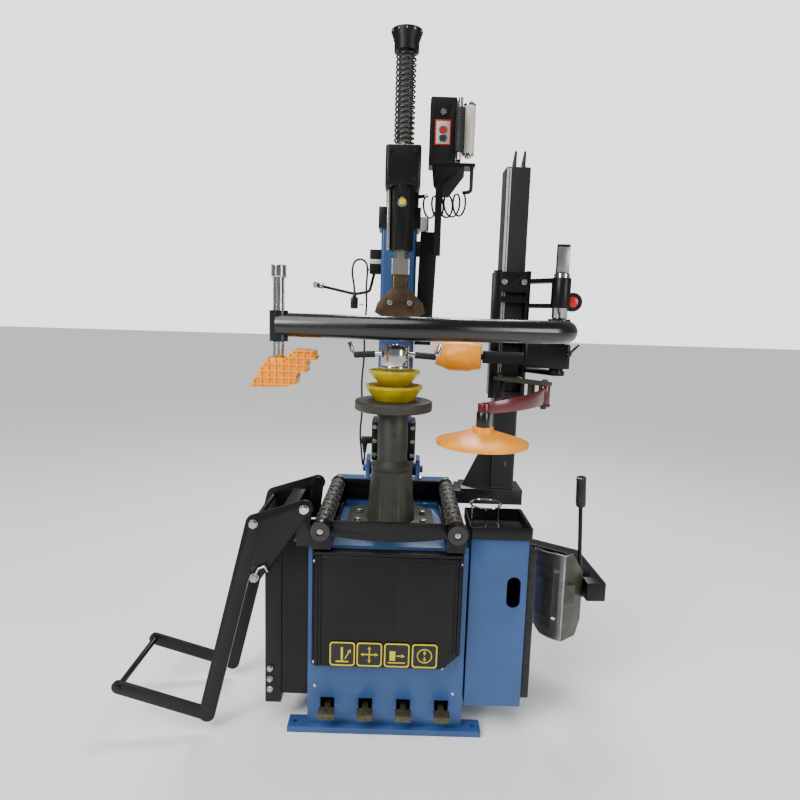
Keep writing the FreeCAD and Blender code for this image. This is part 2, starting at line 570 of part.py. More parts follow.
# tilt cylinder behind the column
foot, eye = V(0, CYL_FOOT[0], CYL_FOOT[1]), V(0, ROD_EYE[0], ROD_EYE[1])
pull = eye - foot
unit = V(pull.x, pull.y, pull.z).normalize()
BARREL_R = 26.0
BARREL_FROM, BARREL_LEN = 24.0, 172.0
ROD_R = 9.0
barrel = Part.makeCylinder(BARREL_R, BARREL_LEN, foot + unit * BARREL_FROM, unit)
barrel = barrel.fuse(Part.makeCylinder(12, BARREL_FROM + 4, foot, unit))
barrel = barrel.fuse(rod(15, (-16, CYL_FOOT[0], CYL_FOOT[1]), X_AXIS, 32))
barrel = barrel.fuse(rod(CYL_PIN_R, (-30, CYL_FOOT[0], CYL_FOOT[1]), X_AXIS, 60))
barrel = barrel.cut(Part.makeCylinder(ROD_R + FIT, 300, foot + unit * 60, unit))
save("tilt_barrel", barrel.removeSplitter())
rod_start = BARREL_FROM + 120
piston = Part.makeCylinder(ROD_R, pull.Length - rod_start - 10, foot + unit * rod_start, unit)
piston = piston.fuse(rod(CYL_PIN_R + EYE_SLACK + 6, (-12, ROD_EYE[0], ROD_EYE[1]), X_AXIS, 24))
piston = piston.cut(rod(CYL_PIN_R + EYE_SLACK, (-13, ROD_EYE[0], ROD_EYE[1]), X_AXIS, 26))
save("tilt_rod", piston.removeSplitter())

# sleeve on the column's top that the arm slides through
SLEEVE_WALL = 14.0
a = ARM_W / 2
sleeve_half = a + GAP + SLEEVE_WALL
SLEEVE_Y = (COL_Y - half - 12, COL_Y + half + 14)
sleeve = block(-sleeve_half + TOOL_X, sleeve_half + TOOL_X, SLEEVE_Y[0], SLEEVE_Y[1], COL_TOP,
               ARM_Z + sleeve_half)
sleeve = soften(sleeve, 8, Y_AXIS)
sleeve = sleeve.cut(block(TOOL_X - a - GAP, TOOL_X + a + GAP, SLEEVE_Y[0] - 1, SLEEVE_Y[1] + 1,
                          ARM_Z - a - GAP, ARM_Z + a + GAP))
skirt = block(-half - 10, half + 10, COL_Y - half - 10, COL_Y + half + 10, COL_TOP - 70, COL_TOP)
skirt = skirt.cut(block(-half, half, COL_Y - half, COL_Y + half, COL_TOP - 71, COL_TOP))
sleeve = sleeve.fuse(skirt)
# the air hose is coiled between a fitting on the sleeve and one under the control shelf
COIL_R = 36.0                    # of the hose's own centre line
HOSE_R = 3.25
COIL_START = V(205, 130, ARM_Z - 48 - COIL_R)
COIL_END = V(92, 200, ARM_Z - 48 - COIL_R)
coil_dir = (COIL_END - COIL_START).normalize()
FITTING_R = 6.0
sleeve = sleeve.fuse(Part.makeCylinder(FITTING_R, 40, COIL_END + V(0, 0, COIL_R) + coil_dir * 40,
                                       -coil_dir))
save("arm_sleeve", sleeve.removeSplitter())

HEAD_BACK = 96.0
arm = block(TOOL_X - a, TOOL_X + a, HEAD_BACK, COL_Y + 270, ARM_Z - a, ARM_Z + a)
arm = soften(arm, 8, Y_AXIS)
arm = arm.cut(block(TOOL_X - a + 6, TOOL_X + a - 6, HEAD_BACK + 20, COL_Y + 271,
                    ARM_Z - a + 6, ARM_Z + a - 6))
save("tool_arm", arm)

HEAD_HALF = 54.0
HEAD_FRONT = -22.0
HEAD_BOTTOM = ARM_Z - 60.0
GUIDE_BOTTOM = ARM_Z - 250.0
GUIDE_AF = 66.0
head = block(TOOL_X - HEAD_HALF, TOOL_X + HEAD_HALF, HEAD_FRONT, HEAD_BACK, HEAD_BOTTOM, HEAD_TOP)
head = soften(head, 10, Z_AXIS)
head = head.fuse(hexagon(GUIDE_AF, (TOOL_X, TOOL_Y), GUIDE_BOTTOM, HEAD_BOTTOM))
COVER_HALF = 13.0
head = head.fuse(block(TOOL_X - COVER_HALF, TOOL_X + COVER_HALF, HEAD_FRONT, TOOL_Y - 20,
                       GUIDE_BOTTOM, HEAD_BOTTOM + 20))
BUTTON_Z = ARM_Z - 110.0
BUTTON_R = 10.0
head = head.cut(hexagon(SHAFT_AF + 2 * GAP, (TOOL_X, TOOL_Y), GUIDE_BOTTOM - 1, HEAD_TOP + 1))
head = head.cut(rod(BUTTON_R + GAP, (TOOL_X, HEAD_FRONT - 1, BUTTON_Z), Y_AXIS, 17))
save("tool_head", head.removeSplitter())
save("release_button", rod(BUTTON_R, (TOOL_X, HEAD_FRONT - 8, BUTTON_Z), Y_AXIS, 16))

# tool shaft with its clamp block, the mount head, the spring and the cap
BLOCK_Z = (GUIDE_BOTTOM - 138.0, GUIDE_BOTTOM - 25.0)
shaft = hexagon(SHAFT_AF, (TOOL_X, TOOL_Y), BLOCK_Z[0] + 20, CAP_TOP - 30)
shaft = shaft.fuse(soften(block(TOOL_X - 30, TOOL_X + 30, TOOL_Y - 30, TOOL_Y + 30, BLOCK_Z[0] + 64,
                                BLOCK_Z[1]), 6, Z_AXIS))
save("tool_shaft", shaft.removeSplitter())
MH_Z = (BLOCK_Z[0] - 76.0, BLOCK_Z[0] + 20.0)
mount = soften(block(TOOL_X - 26, TOOL_X + 26, TOOL_Y - 26, TOOL_Y + 26, BLOCK_Z[0] + 4,
                     BLOCK_Z[0] + 64), 8, Z_AXIS)
mount = mount.cut(hexagon(SHAFT_AF, (TOOL_X, TOOL_Y), BLOCK_Z[0] + 20, BLOCK_Z[0] + 70))
duck_outline = [(-78, 20), (-70, 50), (-26, 96), (30, 96), (74, 52), (82, 20), (40, 0), (-40, 0)]
duck = prism([(TOOL_X + x, TOOL_Y - 32, MH_Z[0] + z) for x, z in duck_outline], V(0, 46, 0))
duck = duck.cut(rod(180, (TOOL_X, TOOL_Y - 150, MH_Z[0] - 90), Z_AXIS, 110).cut(
    rod(146, (TOOL_X, TOOL_Y - 150, MH_Z[0] - 91), Z_AXIS, 112)))
save("mount_head", fuse(mount, duck))
SPRING_R = 33.0
WIRE_R = 3.5
CAP_SKIRT = CAP_TOP - 60.0
save("shaft_spring", ring(SPRING_R, SPRING_R - 2 * WIRE_R, (TOOL_X, TOOL_Y, HEAD_TOP + 1), Z_AXIS,
                          CAP_SKIRT - HEAD_TOP - 2))
cap = fuse(rod(38, (TOOL_X, TOOL_Y, CAP_SKIRT), Z_AXIS, 26),
           taper(38, 49, (TOOL_X, TOOL_Y, CAP_SKIRT + 26), Z_AXIS, CAP_TOP - CAP_SKIRT - 26))
cap = cap.cut(hexagon(SHAFT_AF, (TOOL_X, TOOL_Y), CAP_SKIRT - 1, CAP_TOP - 30))
save("spring_cap", cap)

# ---- control box, bracket, handle, lubricator ----
CTRL_X = (90.0, 172.0)
CTRL_Y = (100.0, 172.0)
CTRL_Z = (ARM_Z + 38.0, ARM_Z + 236.0)
PLATE_LOW = CTRL_Z[0] - 10
box = soften(block(CTRL_X[0], CTRL_X[1], CTRL_Y[0], CTRL_Y[1], CTRL_Z[0], CTRL_Z[1]), 6, Z_AXIS)
KEY_X = (CTRL_X[0] + CTRL_X[1]) / 2
KEY_R = 9.0
BUTTONS = {"red_button": CTRL_Z[1] - 100, "black_button": CTRL_Z[1] - 125}
for z in BUTTONS.values():
    box = box.cut(rod(KEY_R + GAP, (KEY_X, CTRL_Y[0] - 1, z), Y_AXIS, 13))
save("control_box", box)
for name, z in BUTTONS.items():
    save(name, rod(KEY_R, (KEY_X, CTRL_Y[0] - 6, z), Y_AXIS, 12))

ARM_X = 96.0
bracket = prism([(ARM_X + 4, CTRL_Y[0] + 8, PLATE_LOW), (ARM_X + 108, CTRL_Y[0] + 8, PLATE_LOW),
                 (ARM_X + 108, CTRL_Y[0] + 8, PLATE_LOW - 30), (ARM_X + 60, CTRL_Y[0] + 8, PLATE_LOW - 96),
                 (ARM_X + 36, CTRL_Y[0] + 8, PLATE_LOW - 96), (ARM_X + 10, CTRL_Y[0] + 8, PLATE_LOW - 60)],
                V(0, 8, 0))
shelf = block(CTRL_X[0], CTRL_X[1] + 66, CTRL_Y[0], CTRL_Y[1], PLATE_LOW, CTRL_Z[0])
CHAN_Z = (ARM_Z - 548.0, ARM_Z - 176.0)
CHAN_Y = CTRL_Y[0] + 28
CHAN_WALL = 6.0
strut = block(ARM_X + 18, ARM_X + 40, CTRL_Y[0] + 4, CTRL_Y[0] + 20, CHAN_Z[1] - 78, PLATE_LOW - 60)
link = block(ARM_X + 18, ARM_X + 32, CTRL_Y[0] + 18, CHAN_Y + 12, CHAN_Z[1] - 74, CHAN_Z[1] - 4)
channel = prism([(half + 11, CHAN_Y, CHAN_Z[1]), (half + 67, CHAN_Y, CHAN_Z[1]),
                 (half + 55, CHAN_Y, CHAN_Z[0]), (half + 1, CHAN_Y, CHAN_Z[0])], V(0, 60, 0))
channel = channel.cut(prism([(half + 11 + CHAN_WALL, CHAN_Y + 8, CHAN_Z[1] + 1),
                             (half + 67 - CHAN_WALL, CHAN_Y + 8, CHAN_Z[1] + 1),
                             (half + 55 - CHAN_WALL, CHAN_Y + 8, CHAN_Z[0] - 1),
                             (half + 1 + CHAN_WALL, CHAN_Y + 8, CHAN_Z[0] - 1)], V(0, 60, 0)))
feet = [block(half, half + 51, CHAN_Y + 56, CHAN_Y + 88, z, z + 50)
        for z in (CHAN_Z[0] + 28, CHAN_Z[1] - 74)]
mouth = COIL_START + V(0, 0, COIL_R)
bend = mouth - coil_dir * 28
elbow = bent_bar([(bend.x, bend.y, PLATE_LOW + 2), tuple(bend), tuple(mouth)], [10], FITTING_R)
save("control_bracket", fuse(bracket, shelf, strut, link, channel, elbow, *feet))
save("hose_coil", Part.makeCylinder(COIL_R + HOSE_R, (COIL_END - COIL_START).Length, COIL_START,
                                    coil_dir))

HANDLE_X, HANDLE_Y = 182.0, 74.0
HANDLE_Z = (CTRL_Z[0] + 2.0, CTRL_Z[1] - 10.0)
handle = fuse(rod(7, (HANDLE_X, HANDLE_Y, HANDLE_Z[0]), Z_AXIS, HANDLE_Z[1] - HANDLE_Z[0]),
              rod(14, (HANDLE_X, HANDLE_Y, HANDLE_Z[0] + 24), Z_AXIS, HANDLE_Z[1] - HANDLE_Z[0] - 54),
              *[block(HANDLE_X - 7, HANDLE_X + 7, HANDLE_Y, CTRL_Y[0], z, z + 12)
                for z in (HANDLE_Z[0], HANDLE_Z[1] - 12)],
              block(CTRL_X[1], HANDLE_X + 7, CTRL_Y[0], CTRL_Y[0] + 14, *HANDLE_Z))
save("control_handle", handle)

LUB = (216.0, 140.0)
lub = fuse(rod(20, (*LUB, CTRL_Z[0] + 24), Z_AXIS, CTRL_Z[1] - CTRL_Z[0] - 24),
           rod(12, (*LUB, CTRL_Z[0]), Z_AXIS, 26),
           block(HANDLE_X + 7, LUB[0], CTRL_Y[0] + 30, CTRL_Y[0] + 50, CTRL_Z[0] + 52, CTRL_Z[0] + 152))
save("air_lubricator", lub)

# ---- inflator, on the column's left side ----
INF_X = -COL_W / 2
INF_Y = COL_Y - 22
INF_Z = ARM_Z - 311.0
gauge = soften(block(INF_X - 39, INF_X, INF_Y - 22, INF_Y + 22, INF_Z, INF_Z + 82), 6, Z_AXIS)
stem = bent_bar([(INF_X - 22, INF_Y, INF_Z + 6), (INF_X - 38, INF_Y, INF_Z - 61),
                 (INF_X - 89, INF_Y, INF_Z - 71), (INF_X - 215, INF_Y, INF_Z - 45)], [18, 60], 5)
chuck = between(9, (INF_X - 201, INF_Y, INF_Z - 47.9), (INF_X - 235, INF_Y, INF_Z - 40.9))
save("inflator", fuse(gauge, stem, chuck))

# ---- power cord: gland on the boot, route, plug ----
CORD_R = 3.5
GLAND_AT = (-BOOT_HALF - 26.0, COL_Y - 32.0)
GLAND_Z = BOOT_Z[0] + 16.0
gland = fuse(block(GLAND_AT[0] - 12, -BOOT_HALF, GLAND_AT[1] - 12, GLAND_AT[1] + 12,
                   GLAND_Z + 36, GLAND_Z + 60),
             taper(6, 10, (*GLAND_AT, GLAND_Z), Z_AXIS, 36))
save("cord_gland", gland)

# out of the gland and round in front of it, up beside the column, over a tie and down to the plug
TIE_Z = ARM_Z - 260.0
UP_FROM_GLAND = [(0, 0, 0), (0, 0, -26), (-2, -24.2, -40), (-4, -48.5, -26), (-8, -48, 14),
                 (-16, -44, 82), (-8, -38, 166), (-15, -32, 260)]
UP_TO_TIE = [(-5, -30, -330), (-10, -26, -240), (-1, -28, -164), (-6, -21, -100), (-2, -14, -50),
             (-4, -12, -14), (-28, -12, 0), (-52, -12, -14), (-56, -13, -54), (-46, -14, -98),
             (-46, -14, -128)]
CORD_ROUTE = [(GLAND_AT[0] + x, GLAND_AT[1] + y, z0 + z)
              for z0, part in ((GLAND_Z, UP_FROM_GLAND), (TIE_Z, UP_TO_TIE)) for x, y, z in part]
ARC_SHARE = 0.45


def cord(route, r):
    """Straight runs joined by tangent arcs as large as the runs allow."""
    pts = [V(*p) for p in route]
    radii = []
    for i in range(1, len(pts) - 1):
        a, b = pts[i] - pts[i - 1], pts[i + 1] - pts[i]
        radii.append(ARC_SHARE * min(a.Length, b.Length) / math.tan(a.getAngle(b) / 2))
    tube = bent_bar(route, radii, r)
    path = sum((pts[i + 1] - pts[i]).Length for i in range(len(pts) - 1))
    print("cord radii", [round(x) for x in radii], "runs", round(path), "tube",
          round(tube.Volume / (math.pi * r * r)))
    return tube


save("power_cord", cord(CORD_ROUTE, CORD_R))
PLUG_TOP = CORD_ROUTE[-1]
px, py, pz = PLUG_TOP
plug = soften(block(px - 13, px + 13, py - 12, py + 12, pz - 46, pz), 4, Z_AXIS)
prongs = [rod(2.4, (px + 12, py + s * 7, pz - 30), X_AXIS, 20) for s in (-1, 1)]
save("power_plug", fuse(plug, *prongs))

# ---- helper post ----
POST_BACK = POST_FRONT + POST_DEEP
post_l, post_r = POST_X - POST_W / 2, POST_X + POST_W / 2
BEAM_Z = (CAB_TOP, CAB_TOP + 40)
PLATE_Z1 = BEAM_Z[1] + 8
post = soften(block(post_l, post_r, POST_FRONT, POST_BACK, PLATE_Z1, POST_TOP), 6, Z_AXIS)
post = post.cut(block(post_l + 5, post_r - 5, POST_FRONT + 5, POST_BACK - 5, PLATE_Z1 + 60,
                      POST_TOP - 8))
beam = block(-ROLLER_X - 16, post_r + 30, POST_FRONT - 17, POST_FRONT + 33, *BEAM_Z)
pad = block(CAB_X, post_r + 30, POST_FRONT - 17, POST_BACK + 13, BEAM_Z[0] - 6, PLATE_Z1 - 8)
foot_plate = block(CAB_X + 16, post_r + 30, POST_FRONT - 17, POST_BACK + 13, PLATE_Z1 - 8, PLATE_Z1)
gusset = prism([(post_l - 97, POST_FRONT + 30, PLATE_Z1), (post_l + 2, POST_FRONT + 30, PLATE_Z1),
                (post_l + 2, POST_FRONT + 30, PLATE_Z1 + 165), (post_l - 20, POST_FRONT + 30,
                                                               PLATE_Z1 + 165)], V(0, 12, 0))
ears = [prism([(x, POST_FRONT + 10, POST_TOP), (x, POST_BACK - 10, POST_TOP),
               (x, POST_FRONT + 16, POST_TOP + 52), (x, POST_FRONT + 10, POST_TOP + 52)],
              V(7, 0, 0)) for x in (POST_X - 14, POST_X + 16)]
save("helper_post", fuse(post, beam, pad, foot_plate, gusset, *ears))

# ---- helper carriage with the pivot shaft ----
CHEEK = 14.0
CARR_Z = (TUBE_Z - 235.0, TUBE_Z + 191.0)
SHAFT_PIV_R = 22.0
cl, cr = post_l - GAP, post_r + GAP
cheeks = [block(cl - CHEEK, cl, POST_FRONT - 27, POST_BACK + 22, *CARR_Z),
          block(cr, cr + CHEEK, POST_FRONT - 27, POST_BACK + 22, *CARR_Z)]
flange_plate = block(cl - CHEEK - 14, cl - 2, POST_FRONT - 27, POST_FRONT - 19, *CARR_Z)
bands = [block(cl - 2, cr + 2, POST_FRONT - 27, POST_FRONT - GAP, z0, z1)
         for z0, z1 in ((TUBE_Z + 121, TUBE_Z + 187), (TUBE_Z + 87, TUBE_Z + 107),
                        (TUBE_Z - 49, TUBE_Z - 15), (TUBE_Z - 181, TUBE_Z - 151),
                        (CARR_Z[0], CARR_Z[0] + 22))]
back_plate = block(cl - 2, cr + 2, POST_BACK + GAP, POST_BACK + 16, *CARR_Z)
HUB_R = 35.0
TUBE_HUB = (TUBE_Z - 37, TUBE_Z + 37)
ROLL_HUB = (TUBE_HUB[0] - 82.0, TUBE_HUB[0] - 6.0)
BRACKET_Z = (TUBE_HUB[1] + 34.0, TUBE_HUB[1] + 128.0)
shaft_piv = rod(SHAFT_PIV_R, (HELP_X, HELP_Y, ROLL_HUB[0] - 12), Z_AXIS,
                BRACKET_Z[1] + 14 - ROLL_HUB[0] + 12)
WEB = 14.0


def bracket_leaf(z0, z1):
    """Flat gusset from the right cheek to the pivot shaft."""
    pts = [(cr + 2, POST_FRONT + 60), (cr + 2, POST_FRONT - 27), (HELP_X - 27, HELP_Y),
           (HELP_X + 27, HELP_Y)]
    return fuse(prism([(x, y, z0) for x, y in pts], V(0, 0, z1 - z0)),
                rod(27, (HELP_X, HELP_Y, z0), Z_AXIS, z1 - z0))


bracket = fuse(bracket_leaf(BRACKET_Z[0], BRACKET_Z[0] + WEB),
               bracket_leaf(BRACKET_Z[1] - WEB, BRACKET_Z[1]),
               rod(30, (HELP_X, HELP_Y, BRACKET_Z[0]), Z_AXIS, BRACKET_Z[1] - BRACKET_Z[0]))
fin = block(HELP_X - 20, HELP_X + 20, HELP_Y - 5, HELP_Y + 5, BRACKET_Z[1] + 6, BRACKET_Z[1] + 104)
lower = bracket_leaf(ROLL_HUB[0] - 24, ROLL_HUB[0] - 10)
DISC_PIVOT = (POST_X - 35.0, POST_FRONT - 53.0)
DISC_BOSS = (CARR_Z[0] + 6.0, CARR_Z[0] + 66.0)
boss = fuse(rod(18, (*DISC_PIVOT, DISC_BOSS[0]), Z_AXIS, DISC_BOSS[1] - DISC_BOSS[0]),
            block(DISC_PIVOT[0] - 14, DISC_PIVOT[0] + 14, DISC_PIVOT[1], POST_FRONT - 20,
                  *DISC_BOSS))
boss = boss.cut(rod(9 + FIT, (*DISC_PIVOT, DISC_BOSS[0] - 1), Z_AXIS, 100))
save("helper_carriage", fuse(*cheeks, flange_plate, *bands, back_plate, shaft_piv, bracket,
                              fin, lower, boss))

# ---- curved helper tube, its sleeve, the presser screw and foot ----
SLEEVE_AT = (-313.0, -285.0)
SCREW_R = 16.0
TUBE_WALL = 5.0
tube_path = [(HELP_X - 12, HELP_Y - 20, TUBE_Z), (HELP_X - 32, HELP_Y - 245, TUBE_Z), (60, -345, TUBE_Z),
             (*SLEEVE_AT, TUBE_Z)]
tube = bent_bar(tube_path, [90, 600], TUBE_R).cut(bent_bar(tube_path, [90, 600],
                                                           TUBE_R - TUBE_WALL))
tube = tube.fuse(rod(HUB_R, (HELP_X, HELP_Y, TUBE_HUB[0]), Z_AXIS, TUBE_HUB[1] - TUBE_HUB[0]))
tube = tube.fuse(rod(25, (*SLEEVE_AT, TUBE_Z - 44), Z_AXIS, 82))
tube = tube.cut(rod(SHAFT_PIV_R + FIT, (HELP_X, HELP_Y, TUBE_HUB[0] - 1), Z_AXIS, 80))
tube = tube.cut(rod(SCREW_R + FIT, (*SLEEVE_AT, TUBE_Z - 50), Z_AXIS, 100))
save("helper_tube", tube.removeSplitter())

FOOT_TOP = TUBE_Z - 87.0
SCREW_TOP = FOOT_TOP + 240.0
screw = rod(SCREW_R, (*SLEEVE_AT, FOOT_TOP), Z_AXIS, SCREW_TOP - FOOT_TOP)
screw = screw.fuse(rod(24, (*SLEEVE_AT, SCREW_TOP - 28), Z_AXIS, 32))
for i in range(9):
    groove = ring(SCREW_R + 2, SCREW_R - 2, (*SLEEVE_AT, SCREW_TOP - 106 + 8 * i), Z_AXIS, 3)
    screw = screw.cut(groove)
save("presser_screw", screw)
FOOT_T = 70.0
# stepped side profile, from the screw's axis and the screw's lower end
foot_pts = [(-71, -80), (-25, 0), (23, 0), (49, 24), (99, 20), (105, -4), (81, -4), (79, -38),
            (55, -38), (51, -70), (17, -78)]
presser = prism([(SLEEVE_AT[0] + x, SLEEVE_AT[1] - FOOT_T / 2, FOOT_TOP + z) for x, z in foot_pts],
                V(0, FOOT_T, 0))
save("presser_foot", presser)

# ---- roller arm and tapered roller, drawn along -X and then turned about the pivot ----
ROLL_TURN = -9.4
ROLL_Z = ROLL_HUB[0] + 26.0


def turned(shape):
    return shape.rotated(V(HELP_X, HELP_Y, 0), Z_AXIS, ROLL_TURN)


def arm_bar(r, x0, x1):
    return rod(r, (HELP_X + x0, HELP_Y, ROLL_Z), X_AXIS, x1 - x0)


hub = block(HELP_X - 104, HELP_X + 38, HELP_Y - 38, HELP_Y + 38, *ROLL_HUB)
hub = soften(hub, 10, Z_AXIS)
bar = block(HELP_X - 236, HELP_X - 100, HELP_Y - 12, HELP_Y + 12, ROLL_Z - 20, ROLL_Z + 20)
ROLL_AXLE_R = 10.0
ROLL_X = (-388.0, -240.0)
whole = fuse(hub, bar, arm_bar(ROLL_AXLE_R, ROLL_X[0] + 6, -230))
whole = whole.cut(rod(SHAFT_PIV_R + FIT, (HELP_X, HELP_Y, ROLL_HUB[0] - 1), Z_AXIS, 80))
save("roller_arm", turned(whole))
roll = fuse(rod(50, (HELP_X + ROLL_X[0] + 46, HELP_Y, ROLL_Z), X_AXIS, 60),
            taper(32, 50, (HELP_X + ROLL_X[0], HELP_Y, ROLL_Z), X_AXIS, 46),
            taper(50, 40, (HELP_X + ROLL_X[0] + 106, HELP_Y, ROLL_Z), X_AXIS,
                  ROLL_X[1] - ROLL_X[0] - 106 - GAP))
roll = roll.cut(arm_bar(ROLL_AXLE_R + FIT, ROLL_X[0] + 5, ROLL_X[1] + 1))
save("bead_roller", turned(roll))

# ---- two-link disc arm and press disc ----
KNEE = (HELP_X - 52.0, HELP_Y - 80.0)
DISC_AT = (254.0, -250.0)
LINK_W = 44.0
LINK_Z = (DISC_BOSS[1] + GAP, DISC_BOSS[1] + GAP + 11)
KNEE_LOW = DISC_BOSS[0] - 5.0
PIN = 9.0


def bar_between(p, q, w, z0, z1):
    """Flat bar with round ends between two points seen from above."""
    dx, dy = q[0] - p[0], q[1] - p[1]
    n = math.hypot(dx, dy)
    ox, oy = -dy / n * w / 2, dx / n * w / 2
    return fuse(prism([(p[0] + ox, p[1] + oy, z0), (q[0] + ox, q[1] + oy, z0),
                       (q[0] - ox, q[1] - oy, z0), (p[0] - ox, p[1] - oy, z0)], V(0, 0, z1 - z0)),
                rod(w / 2, (*p, z0), Z_AXIS, z1 - z0), rod(w / 2, (*q, z0), Z_AXIS, z1 - z0))


share = 0.28
web_at = (KNEE[0] + (DISC_PIVOT[0] - KNEE[0]) * share, KNEE[1] + (DISC_PIVOT[1] - KNEE[1]) * share)
disc_link = fuse(bar_between(DISC_PIVOT, KNEE, LINK_W, *LINK_Z),
                 bar_between(web_at, KNEE, LINK_W - 4, KNEE_LOW, KNEE_LOW + 9),
                 rod(12, (*web_at, KNEE_LOW), Z_AXIS, LINK_Z[0] - KNEE_LOW + 2),
                 rod(PIN, (*KNEE, KNEE_LOW - 8), Z_AXIS, LINK_Z[1] - KNEE_LOW + 16),
                 rod(PIN, (*DISC_PIVOT, DISC_BOSS[0] - 8), Z_AXIS, LINK_Z[1] - DISC_BOSS[0] + 14))
save("disc_link", disc_link)

ARM_T = 12.0
arm_top, arm_low = LINK_Z[0] - GAP, KNEE_LOW + 9 + GAP
mid = V((KNEE[0] + DISC_AT[0]) / 2 + 26, (KNEE[1] + DISC_AT[1]) / 2 - 30, arm_low - 20)
k, d = V(*KNEE, arm_low - 20), V(*DISC_AT, arm_low - 20)
edges = []
for grow in (-ARM_T / 2, ARM_T / 2):
    out = V(0.66 * grow, -0.75 * grow, 0)
    edges.append((k + out, mid + out, d + out))
outer, inner = edges
plan = Part.Wire([Part.Arc(*outer).toShape(), Part.LineSegment(outer[2], inner[2]).toShape(),
                  Part.Arc(*inner[::-1]).toShape(), Part.LineSegment(inner[0], outer[0]).toShape()])
plate = Part.Face(plan).extrude(V(0, 0, arm_top - arm_low + 40))
x0, x1 = DISC_AT[0] - 40, KNEE[0] + 40
keep = prism([(x0, -400, arm_low - 10), (x1, -400, arm_low + 6), (x1, -400, arm_top),
              (x0, -400, arm_top - 36)], V(0, 500, 0))
plate = plate.common(keep)
POST_LOW = KNEE_LOW - 34.0
DISC_LOW = POST_LOW - 51.0
disc_arm = fuse(plate, rod(18, (*KNEE, arm_low), Z_AXIS, arm_top - arm_low),
                rod(17, (*DISC_AT, POST_LOW), Z_AXIS, arm_top - 34 - POST_LOW),
                rod(PIN, (*DISC_AT, DISC_LOW + 6), Z_AXIS, POST_LOW - DISC_LOW - 4))
disc_arm = disc_arm.cut(rod(PIN + FIT, (*KNEE, arm_low - 1), Z_AXIS, 100))
save("disc_arm", disc_arm)

DISC_R = 130.0
disc = fuse(rod(DISC_R, (*DISC_AT, DISC_LOW), Z_AXIS, 10),
            taper(DISC_R, 46, (*DISC_AT, DISC_LOW + 10), Z_AXIS, 26),
            rod(30, (*DISC_AT, DISC_LOW + 24), Z_AXIS, POST_LOW - DISC_LOW - 24 - GAP))
disc = disc.cut(rod(PIN + FIT, (*DISC_AT, DISC_LOW - 6), Z_AXIS, 80))
save("press_disc", disc)

# ---- wheel lift ----
LEG_W = 46.0
CHANNEL_Y = (LIFT_FRONT + LIFT_PLATE + EAR_T + 14, LIFT_BACK - EAR_T - 4)
CHANNEL_X = (-CAB_X - 124.0, -CAB_X - 78.0)
CHANNEL_Z = (72.0, CAB_TOP + 36.0)
channel = block(CHANNEL_X[0], CHANNEL_X[1], *CHANNEL_Y, *CHANNEL_Z)
channel = channel.cut(block(CHANNEL_X[0] - 1, CHANNEL_X[1] - 6, CHANNEL_Y[0] + 6, CHANNEL_Y[1] - 6,
                            CHANNEL_Z[0] - 1, CHANNEL_Z[1] + 1))
case = block(CHANNEL_X[1] - 1, -CAB_X, CHANNEL_Y[0] + 8, CHANNEL_Y[1] - 8, CHANNEL_Z[0] + 24,
             CHANNEL_Z[1] - 36)
case = case.cut(block(CHANNEL_X[1] + 4, -CAB_X - 5, CHANNEL_Y[0] + 13, CHANNEL_Y[1] - 13,
                      CHANNEL_Z[0] + 29, CHANNEL_Z[1] - 41))
save("lift_channel", fuse(channel, case))


def side_link(p, q, w, y0, t):
    """Flat bar with round ends between two points of the side view."""
    dx, dz = q[0] - p[0], q[1] - p[1]
    n = math.hypot(dx, dz)
    ox, oz = -dz / n * w / 2, dx / n * w / 2
    return fuse(prism([(p[0] + ox, y0, p[1] + oz), (q[0] + ox, y0, q[1] + oz),
                       (q[0] - ox, y0, q[1] - oz), (p[0] - ox, y0, p[1] - oz)], V(0, t, 0)),
                rod(w / 2, (p[0], y0, p[1]), Y_AXIS, t), rod(w / 2, (q[0], y0, q[1]), Y_AXIS, t))


def lift_side(y0):
    web = prism([(LIFT_A[0], y0, LIFT_A[1]), (LIFT_B[0], y0, LIFT_B[1]),
                 (LIFT_C[0], y0, LIFT_C[1])], V(0, LIFT_PLATE, 0))
    return fuse(side_link(LIFT_A, LIFT_CORNER, LEG_W, y0, LIFT_PLATE),
                side_link(LIFT_CORNER, LIFT_TIP, LEG_W - 8, y0, LIFT_PLATE),
                side_link(LIFT_A, LIFT_B, LEG_W, y0, LIFT_PLATE),
                side_link(LIFT_B, LIFT_C, LEG_W - 12, y0, LIFT_PLATE), web)


def cross_rod(p, r):
    return rod(r, (p[0], LIFT_FRONT - 4, p[1]), Y_AXIS, LIFT_BACK + LIFT_PLATE + 8 - LIFT_FRONT)


strap = block(LIFT_A[0] + 66, LIFT_A[0] + 104, LIFT_FRONT + 2, LIFT_BACK + 2,
              LIFT_B[1] - 24, LIFT_B[1] - 16)
pins = [rod(LIFT_PIN_R, (LIFT_B[0], y0, LIFT_B[1]), Y_AXIS, y1 - y0)
        for y0, y1 in ((LIFT_FRONT - 4, LIFT_FRONT + LIFT_PLATE + EAR_T + 2),
                       (LIFT_BACK - EAR_T - 2, LIFT_BACK + LIFT_PLATE + 4))]
save("lift_arm", fuse(lift_side(LIFT_FRONT), lift_side(LIFT_BACK), cross_rod(LIFT_TIP, 9),
                      cross_rod(LIFT_A, 8), cross_rod(LIFT_C, 8), strap, *pins))

# ---- bead breaker ----
BEAM_END = (BEAD_PIVOT[0] + 220.0, BEAD_PIVOT[1] - 395.0)
BEAM_BEND = (BEAD_PIVOT[0] + 213.0, BEAD_PIVOT[1] - 150.0)
TUBE_W = 56.0


